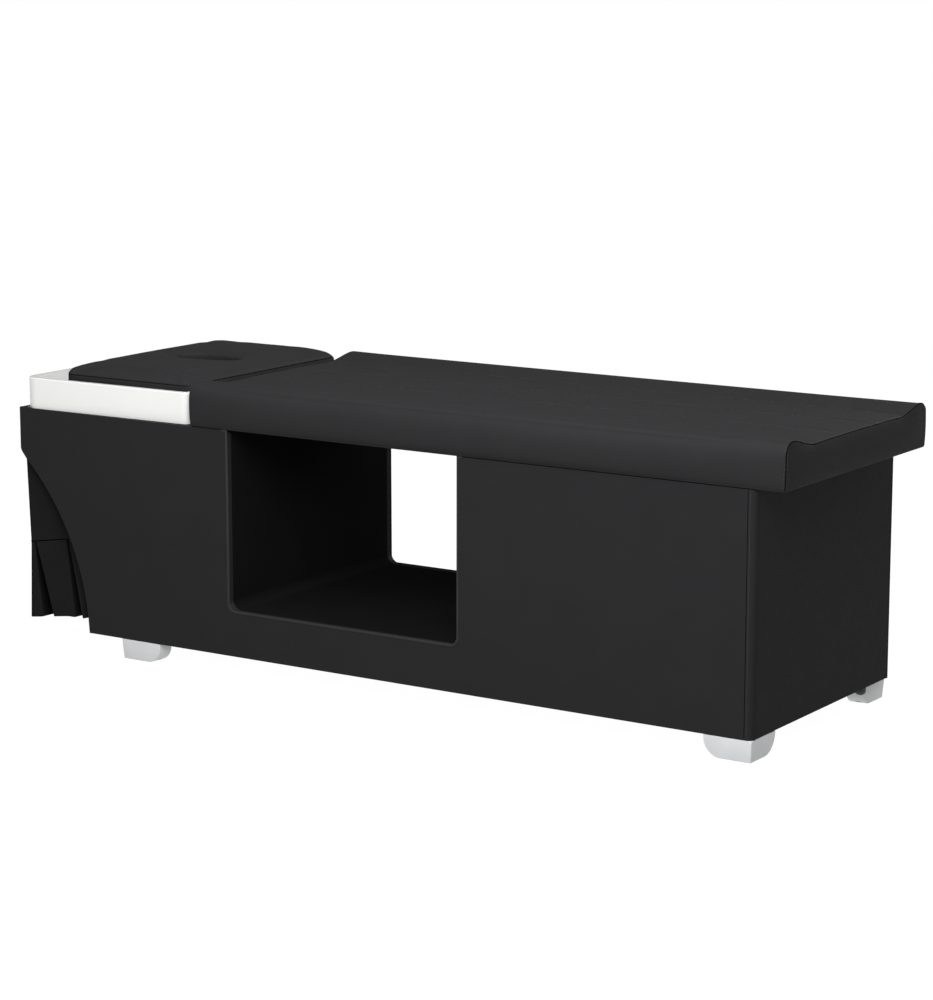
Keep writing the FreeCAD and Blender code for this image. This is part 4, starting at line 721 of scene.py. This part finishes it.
# Sides and foot end belly out, less so towards the foot end's corners
swing = np.sin(np.pi * np.clip(share, 0, 1)) ** 0.7
tuck = TUCK * (1 - np.clip(share / TUCK_SHARE, 0, 1)) ** 2
bulge = np.sign(body[:, 1]) * (SIDE_BULGE * swing - tuck) * ~foot_seam
body[side_edge, 1] += bulge[side_edge]
full = np.maximum(1 - (np.abs(body[:, 1]) / MATTRESS_HALF) ** 8, CORNER_BULGE)
bulge = FOOT_BULGE * swing * full * (share < AT_TOP)
body[foot_seam, 0] += bulge[foot_seam]
for way in (-1, 1):
    round_off(body, 1, 2, way * MATTRESS_HALF, MATTRESS_HIGH, SIDE_ROUND)
    round_off(body, 0, 1, MATTRESS_FOOT, way * MATTRESS_HALF, FOOT_CORNER)
    round_off(body, 0, 1, MATTRESS_HEAD, way * MATTRESS_HALF, HEAD_CORNER)
# The upper edge at the head end is rounded off along the top's own curve
at_top = top_z - 0.0001
there = (body[:, 0] < MATTRESS_HEAD + HEAD_ROUND) & (body[:, 2] > at_top - HEAD_ROUND)
rise = np.clip((body[:, 2] - at_top + HEAD_ROUND) / HEAD_ROUND, 0, 1)
back = np.clip((MATTRESS_HEAD + HEAD_ROUND - body[:, 0]) / HEAD_ROUND, 0, 1)
draw = np.maximum(rise, back) / np.maximum(np.hypot(rise, back), LEAST)
body[there, 0] = (MATTRESS_HEAD + HEAD_ROUND * (1 - back * draw))[there]
body[there, 2] = (at_top - HEAD_ROUND * (1 - rise * draw))[there]
set_points(mattress, body)
swell(mattress, 6.0, reach, held)
outline = points_of(mattress)[end_outline]
shape_modifier(mattress, "SUBSURF", levels=1, render_levels=1)
# The cover is drawn down along the quilting, with small puckers across each line
body = points_of(mattress)
for line in QUILT_LINES:
    off = body[:, 1] - line
    along = (np.clip((QUILT_FOOT - body[:, 0]) / QUILT_FADE, 0, 1)
             * np.clip((body[:, 0] - QUILT_HEAD) / QUILT_FADE, 0, 1))
    press = np.exp(-(off / QUILT_WIDTH) ** 2) * along * (body[:, 2] > QUILT_ABOVE)
    for number in np.nonzero(press > 0.02)[0]:
        at = body[number]
        pucker = noise.noise((at[0] / PUCKER_LONG, at[1] / PUCKER_WIDE, line * 9))
        body[number, 2] -= QUILT_DEPTH * press[number] * (1 + PUCKER_SHARE * pucker)
draw_up(body, MATTRESS_HEAD, MATTRESS_FOOT, MATTRESS_HALF, UNDER_MARGIN,
        MATTRESS_LOW + UNDER_REACH, MATTRESS_LOW + UNDER_RISE)
set_points(mattress, body)
bpy.ops.object.shade_smooth_by_angle(angle=math.radians(42))
mattress_cover = leatherette("pu_leatherette_embossed_mattress", "#212122", "#242425",
                             0.012, 0.00012, 0.0004)
settle(mattress, "mattress_padded_cover", mattress_cover, "base")
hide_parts("mattress_pad")


# The quilting of the mattress: four lines of light lock stitches through cover and foam, and the
# seam that joins the boxed foot end to the cover, with a row of stitches on each side of it.
mattress_surface = surface_of(mattress)
QUILT_START, QUILT_HIGH = 0.008, 0.687
for number, line in enumerate(QUILT_LINES):
    sew(f"mattress_quilt_stitches_{number}",
        [(QUILT_HEAD + QUILT_START, line, QUILT_HIGH), (QUILT_FOOT, line, QUILT_HIGH)],
        "base", (0, 0, 1), mattress_surface, pitch=0.008, skip=0.4)
# The outline of the end, from the near lower corner over the top to the far one
SEAM_START, CORNER_BAND, STITCH_ASIDE = 0.001, 0.040, 0.0045
turn = np.arctan2(outline[:, 2] - MATTRESS_LOW + SEAM_START, -outline[:, 1] * 0.2)
outline = outline[np.argsort(turn)]
outline = outline[outline[:, 2] > MATTRESS_LOW + SEAM_START]
cord("mattress_end_seam", outline.tolist(), COVER_SEAM, dark_thread, "base")
for name, aside in (("cover", (-STITCH_ASIDE, 0.0)), ("end", (0.0, STITCH_ASIDE))):
    for side, out in (("near", -1), ("far", 1)):
        line = outline[outline[:, 1] * out > MATTRESS_HALF - CORNER_BAND]
        line = line[np.argsort(line[:, 2] - np.abs(line[:, 1]))]
        line = line + (aside[0], 0, 0)
        line[:, 1] -= out * aside[1]
        sew(f"mattress_corner_stitches_{name}_{side}", line.tolist(), "base",
            (1, 0, 0), mattress_surface, pitch=0.0100, skip=0.12)


# The head cushion: a loose pad of foam on a plywood board, in the same black leatherette, which
# lies in the basin. A sewn seam runs round its upper edge, and it has a hole for the face.
CUSHION_LOW, CUSHION_SEAM, CUSHION_SHOULDER, CUSHION_CROWN = 0.613, 0.687, 0.0165, 0.007
CUSHION_HEAD, CUSHION_FOOT, CUSHION_HALF = -0.948, -0.556, 0.305
# The form before it swells is smaller by this much, and its crown rises over this width
CUSHION_SPARE, SHOULDER_WIDTH = 0.006, 0.030
HEAD_END_CORNER, FOOT_END_CORNER = 0.026, 0.017
HOLE_CENTRE, HOLE_LONG, HOLE_WIDE = -0.735, 0.195, 0.105
RIM_DIP, RIM_WIDTH = 0.010, 0.016
CUSHION_CUTS, CUSHION_VOXEL = 48, 0.005
CUSHION_MARGIN, CUSHION_REACH, CUSHION_UNDER = 0.0105, 0.003, 0.6215
cushion = start(bpy.ops.mesh.primitive_cube_add, size=1, location=(
    (CUSHION_HEAD + CUSHION_FOOT) / 2, 0, (CUSHION_LOW + CUSHION_SEAM) / 2), scale=(
    CUSHION_FOOT - CUSHION_HEAD - CUSHION_SPARE, 2 * CUSHION_HALF - CUSHION_SPARE,
    CUSHION_SEAM - CUSHION_LOW))
apply_place(cushion)
bpy.ops.object.mode_set(mode="EDIT")
bpy.ops.mesh.select_all(action="SELECT")
bpy.ops.mesh.subdivide(number_cuts=CUSHION_CUTS)
bpy.ops.object.mode_set(mode="OBJECT")


def off_hole(points):
    """How far points lie from the hole's middle, where its edge is 1."""
    return np.hypot((points[:, 0] - HOLE_CENTRE) / HOLE_LONG * 2, points[:, 1] / HOLE_WIDE * 2)


body = points_of(cushion)
low, high = body.min(0), body.max(0)
share = (body[:, 2] - CUSHION_LOW) / (CUSHION_SEAM - CUSHION_LOW)
to_end = np.minimum(body[:, 0] - low[0], high[0] - body[:, 0]) + 1e-6
to_side = np.minimum(body[:, 1] - low[1], high[1] - body[:, 1]) + 1e-6
inward = (to_end ** -2 + to_side ** -2) ** -0.5
crown = CUSHION_SHOULDER * np.sqrt(1 - (1 - np.clip(inward / SHOULDER_WIDTH, 0, 1)) ** 2)
middle, half = (low + high) / 2, (high - low) / 2
crown += CUSHION_CROWN * np.prod(1 - ((body[:, :2] - middle[:2]) / half[:2]) ** 4, axis=1)
off_rim = (np.hypot(body[:, 0] - HOLE_CENTRE, body[:, 1])
           * (1 - 1 / np.maximum(off_hole(body), 1e-6)))
crown -= RIM_DIP * (1 - np.sqrt(1 - (1 - np.clip(off_rim / RIM_WIDTH, 0, 1)) ** 2))
body[:, 2] = CUSHION_LOW + share * (CUSHION_SEAM + crown - CUSHION_LOW)
for way in (-1, 1):
    round_off(body, 0, 1, low[0], way * high[1], HEAD_END_CORNER)
    round_off(body, 0, 1, high[0], way * high[1], FOOT_END_CORNER)
set_points(cushion, body)
hole = start(bpy.ops.mesh.primitive_cylinder_add, vertices=64, radius=0.5, depth=0.3,
             location=(HOLE_CENTRE, 0, 0.66), scale=(HOLE_LONG, HOLE_WIDE, 1))
apply_place(hole)
shape_modifier(cushion, "BOOLEAN", operation="DIFFERENCE", object=hole, solver="EXACT")
bpy.data.objects.remove(hole)
pick(cushion)
cushion.data.remesh_voxel_size = CUSHION_VOXEL
bpy.ops.object.voxel_remesh()
shape_modifier(cushion, "SMOOTH", factor=0.5, iterations=8)
body = points_of(cushion)
# The underside, the seam and the wall of the hole hold the cover as it swells
HOLD_NEAR, HOLD_IN, SEAM_HOLD, HOLE_NEAR, HOLE_BELOW = 0.004, 0.005, 0.9, 1.04, 0.69
held = np.where(body[:, 2] < CUSHION_LOW + HOLD_NEAR, 1.0, 0.0)
edge_in = np.minimum.reduce([body[:, 0] - CUSHION_HEAD, CUSHION_FOOT - body[:, 0],
                             CUSHION_HALF - np.abs(body[:, 1])])
held[(edge_in < HOLD_IN) & (np.abs(body[:, 2] - CUSHION_SEAM) < HOLD_NEAR)] = SEAM_HOLD
held[(off_hole(body) < HOLE_NEAR) & (body[:, 2] < HOLE_BELOW)] = 1.0
swell(cushion, 5.0, 0.004, held)
shape_modifier(cushion, "SMOOTH", factor=0.5, iterations=3)
shape_modifier(cushion, "SUBSURF", levels=1, render_levels=1)
body = points_of(cushion)
draw_up(body, CUSHION_HEAD, CUSHION_FOOT, CUSHION_HALF, CUSHION_MARGIN,
        CUSHION_LOW + CUSHION_REACH, CUSHION_UNDER)
set_points(cushion, body)
bpy.ops.object.shade_smooth()
cushion_cover = leatherette("pu_leatherette_embossed_cushion", "#212122", "#252526",
                            0.012, 0.00016, 0.0004)
settle(cushion, "head_cushion_padded", cushion_cover, "head_cushion")
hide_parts("head_cushion_pad")
cushion_surface = surface_of(cushion)
path = []
# The seam is found from a nearly square path a little outside the pad: the higher the power,
# the squarer
SQUARE, OUTSIDE, SEAM_STEPS = 24, 1.02, 240
reach_x, reach_y = (CUSHION_FOOT - CUSHION_HEAD) / 2, CUSHION_HALF
for at in np.linspace(0, 2 * math.pi, SEAM_STEPS, endpoint=False):
    far = abs(math.cos(at) / reach_x) ** SQUARE + abs(math.sin(at) / reach_y) ** SQUARE
    far = far ** (-1 / SQUARE) * OUTSIDE
    place = Vector(((CUSHION_HEAD + CUSHION_FOOT) / 2 + far * math.cos(at),
                    far * math.sin(at), CUSHION_SEAM))
    path.append(cushion_surface.find_nearest(place)[0])
cord("head_cushion_seam", path, COVER_SEAM, dark_thread, "head_cushion",
     closed=True)


# The curtain: one width of thin black leatherette on a timber rail round the leg room, a smooth
# yoke above and a deep pleated flounce sewn on below it, open at its folds down to the hem.
YOKE_X, YOKE_Y, YOKE_HIGH = -1.0595, 0.3205, 0.498
SEAM_HIGH, HEM_HIGH = 0.264, 0.073
LEG_END, LEG_BEND, LEG_IN, CORNER_IN = -0.865, -0.933, 0.025, 0.012
SEAM_DEPTH, HEM_DEPTH, HEM_FLARE, HEM_SIDE_FLARE, HEAD_PITCH = 0.006, 0.052, 0.004, 0.010, 0.106
SHEET, CURTAIN_SEAM, SEAM_UP, ROWS = 0.0015, 0.0026, 0.0005, 14
# It hangs lower at the head end than at its ends beside the box
SAG_HEAD, SAG_RISE, SAG_LEG = -0.009, 0.137, 0.008
# The folds beside the box: share of the leg room's depth at the seam and at the hem, how far in
# the fold lies, and how much painted shade darkens it
LEG_FOLDS = (
    (0.02, 0.00, 0.70, 0.2), (0.40, 0.055, 0.05, 0.0), (0.45, 0.077, 0.0, 0.0),
    (0.455, 0.080, 0.15, 0.5), (0.460, 0.10, 1.0, 1.0), (0.468, 0.19, 1.0, 1.0),
    (0.473, 0.206, 0.2, 0.6), (0.475, 0.212, 0.0, 0.0), (0.53, 0.26, 0.0, 0.0),
    (0.90, 0.56, 0.0, 0.0), (0.935, 0.591, 0.0, 0.0), (0.937, 0.595, 0.2, 0.5),
    (0.942, 0.62, 1.0, 1.0), (0.950, 0.76, 1.0, 1.0), (0.954, 0.788, 0.2, 0.6),
    (0.956, 0.792, 0.0, 0.0), (0.97, 0.84, 0.0, 0.0))
# The folds across the head end: share of one pleat, and how far in, which is also how much painted
# shade darkens it
HEAD_FOLDS = ((0.56, 0), (0.54, 1), (0.98, 1))


def flounce_line(at_seam):
    """The flounce's fold lines at its seam or at its hem, right round the leg room."""
    depth, flare, side_flare = ((SEAM_DEPTH, 0.0, 0.0) if at_seam
                                else (HEM_DEPTH, HEM_FLARE, HEM_SIDE_FLARE))
    corner_x = YOKE_X + CORNER_IN
    line = []
    for seam_share, hem_share, inward, painted_shade in LEG_FOLDS:
        x = LEG_END + (corner_x - LEG_END) * (seam_share if at_seam else hem_share)
        lean = min(1.0, max(0.0, (x - corner_x) / (LEG_BEND - corner_x)))
        aside = LEG_IN * lean if at_seam else -side_flare
        line.append((x, aside - YOKE_Y + depth * inward, painted_shade))
    line.append((corner_x, -YOKE_Y - side_flare, 0))
    line.append((YOKE_X - flare, -(YOKE_Y - CORNER_IN), 0))
    first, count = line[-1][1], round(2 * (YOKE_Y - CORNER_IN) / HEAD_PITCH)
    pitch = -2 * first / count
    for number in range(count):
        line += [(YOKE_X - flare + depth * inward, first + pitch * (number + share), inward)
                 for share, inward in HEAD_FOLDS]
        line.append((YOKE_X - flare, first + pitch * (number + 1), 0))
    return np.array(line + [(x, -y, painted_shade) for x, y, painted_shade in reversed(line[:len(LEG_FOLDS) + 1])])


def cut_corners(line, times):
    """Rounds a line's corners by cutting each at a quarter and three quarters of its sides."""
    for _ in range(times):
        a, b = line[:-1], line[1:]
        middle = np.stack((a * 0.75 + b * 0.25, a * 0.25 + b * 0.75), axis=1).reshape(-1, 3)
        line = np.concatenate((line[:1], middle, line[-1:]))
    return line


def sag(x):
    """How much lower or higher the curtain hangs at x."""
    return min(SAG_LEG, SAG_HEAD + SAG_RISE * (x - YOKE_X - CORNER_IN))


def hang(name, rows, high, low, sags):
    """A sheet of the curtain through rows of points from one height to another, given its
    thickness. sags tells how much of the sag each row takes."""
    count = len(rows[0])
    points = [(x, y, z + part * sag(x))
              for row, z, part in zip(rows, np.linspace(high, low, len(rows)), sags)
              for x, y, _ in row]
    faces = [(r * count + c, r * count + c + 1, (r + 1) * count + c + 1, (r + 1) * count + c)
             for r in range(len(rows) - 1) for c in range(count - 1)]
    cloth = build(name, points, faces)
    # Each point keeps how deep in a fold it lies, which sets the painted shade of the curtain's
    # material
    cloth.data.attributes.new("painted_shade", "FLOAT", "POINT").data.foreach_set(
        "value", [painted_shade for row in rows for _, _, painted_shade in row])
    shape_modifier(cloth, "SUBSURF", levels=1, render_levels=1)
    shape_modifier(cloth, "SOLIDIFY", thickness=SHEET, offset=-1)
    bpy.ops.object.shade_smooth_by_angle(angle=math.radians(50))
    return settle(cloth, name, curtain_cover, "base")


# Deep in its folds the curtain's colour is mixed towards near black: painted shade, read from an
# attribute of each sheet
curtain_cover = leatherette("pu_leatherette_embossed_curtain", "#161617", "#19191A",
                            0.0, 0.00014, 0.0006, painted_shade_attribute="painted_shade")
leg_y = YOKE_Y - LEG_IN
# The yoke's corner is nearly sharp at the rail and as round as the flounce's at the seam. Two
# points beside it keep its sides flat.
CORNER_AT_RAIL, CORNER_SIDE, CORNER_SIDE_IN, CORNER_HEAD = 0.002, 0.0055, 0.0012, 0.057
yoke_rows = []
for share in np.linspace(0, 1, ROWS):
    cut_in = CORNER_AT_RAIL + (CORNER_IN - CORNER_AT_RAIL) * share
    half_path = [(LEG_END, -leg_y, 0), (LEG_BEND, -leg_y, 0),
                 (YOKE_X + cut_in + CORNER_SIDE, CORNER_SIDE_IN - YOKE_Y, 0),
                 (YOKE_X + cut_in, -YOKE_Y, 0),
                 (YOKE_X, cut_in - YOKE_Y, 0), (YOKE_X, cut_in - YOKE_Y + CORNER_HEAD, 0)]
    whole_path = np.array(half_path + [(x, -y, 0) for x, y, _ in reversed(half_path)])
    yoke_rows.append(cut_corners(whole_path, 3))
yoke = hang("curtain_yoke_sheet", yoke_rows, YOKE_HIGH, SEAM_HIGH, np.linspace(0, 1, ROWS))
seam_folds, hem_folds = flounce_line(True), flounce_line(False)
flounce_rows = [cut_corners(seam_folds + (hem_folds - seam_folds) * share, 2)
                for share in np.linspace(0, 1, ROWS)]
flounce = hang("curtain_flounce_sheet", flounce_rows, SEAM_HIGH, HEM_HIGH, np.ones(ROWS))
cord("curtain_seam", [(x, y, SEAM_HIGH + sag(x) + SEAM_UP) for x, y, _ in flounce_rows[0]],
     CURTAIN_SEAM, dark_thread, "base")
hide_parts("curtain_yoke")
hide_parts("curtain_flounce")


# The neck rest: a soft saddle of cast black polyurethane gel, pushed over the notch of the
# basin's foot-end wall, with a lip that hangs down outside.
NECK_AXIS, NECK_RADIUS, NECK_PAD, NECK_LIP, NECK_TURN = 0.764, 0.1496, 0.0058, 0.0184, 98.0
NECK_IN, NECK_LIP_X, NECK_OUT, NECK_EDGE = -0.5538, -0.5397, -0.5358, 0.0016
neck_rest = start(bpy.ops.mesh.primitive_plane_add, size=1, rotation=(math.pi / 2, 0, 0), location=(
    (NECK_IN + NECK_OUT) / 2, 0, NECK_AXIS - NECK_RADIUS + NECK_PAD / 2))
neck_rest.scale = (NECK_OUT - NECK_IN, NECK_PAD, 1)
apply_place(neck_rest)
bpy.ops.object.mode_set(mode="EDIT")
bpy.ops.mesh.select_all(action="SELECT")
bpy.ops.mesh.bisect(plane_co=(NECK_LIP_X, 0, 0), plane_no=(1, 0, 0))
choose_edges(neck_rest, lambda a, b: min(a.x, b.x) > NECK_LIP_X - SAME
             and max(a.z, b.z) < NECK_AXIS - NECK_RADIUS + SAME)
bpy.ops.mesh.extrude_region_move(TRANSFORM_OT_translate={"value": (0, 0, -NECK_LIP)})
bpy.ops.mesh.select_all(action="SELECT")
bpy.ops.transform.rotate(value=math.radians(-NECK_TURN / 2), orient_axis="X",
                         center_override=(0, 0, NECK_AXIS))
bpy.ops.mesh.spin(steps=40, angle=math.radians(NECK_TURN), center=(0, 0, NECK_AXIS), axis=(1, 0, 0))
bpy.ops.mesh.select_all(action="SELECT")
bpy.ops.mesh.remove_doubles(threshold=SAME)
bpy.ops.mesh.normals_make_consistent(inside=False)
bpy.ops.object.mode_set(mode="OBJECT")
shape_modifier(neck_rest, "BEVEL", width=NECK_EDGE, segments=3, limit_method="ANGLE",
               angle_limit=math.radians(50))
bpy.ops.object.shade_smooth()
neck_gel = gloss_plain("polyurethane_gel_cast", "#121213", "#1A1A1B", 0.3, 0.0003, 0.2)
settle(neck_rest, "neck_rest_padded", neck_gel, "base")
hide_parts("neck_rest")


bpy.data.objects.remove(pattern_stitch)
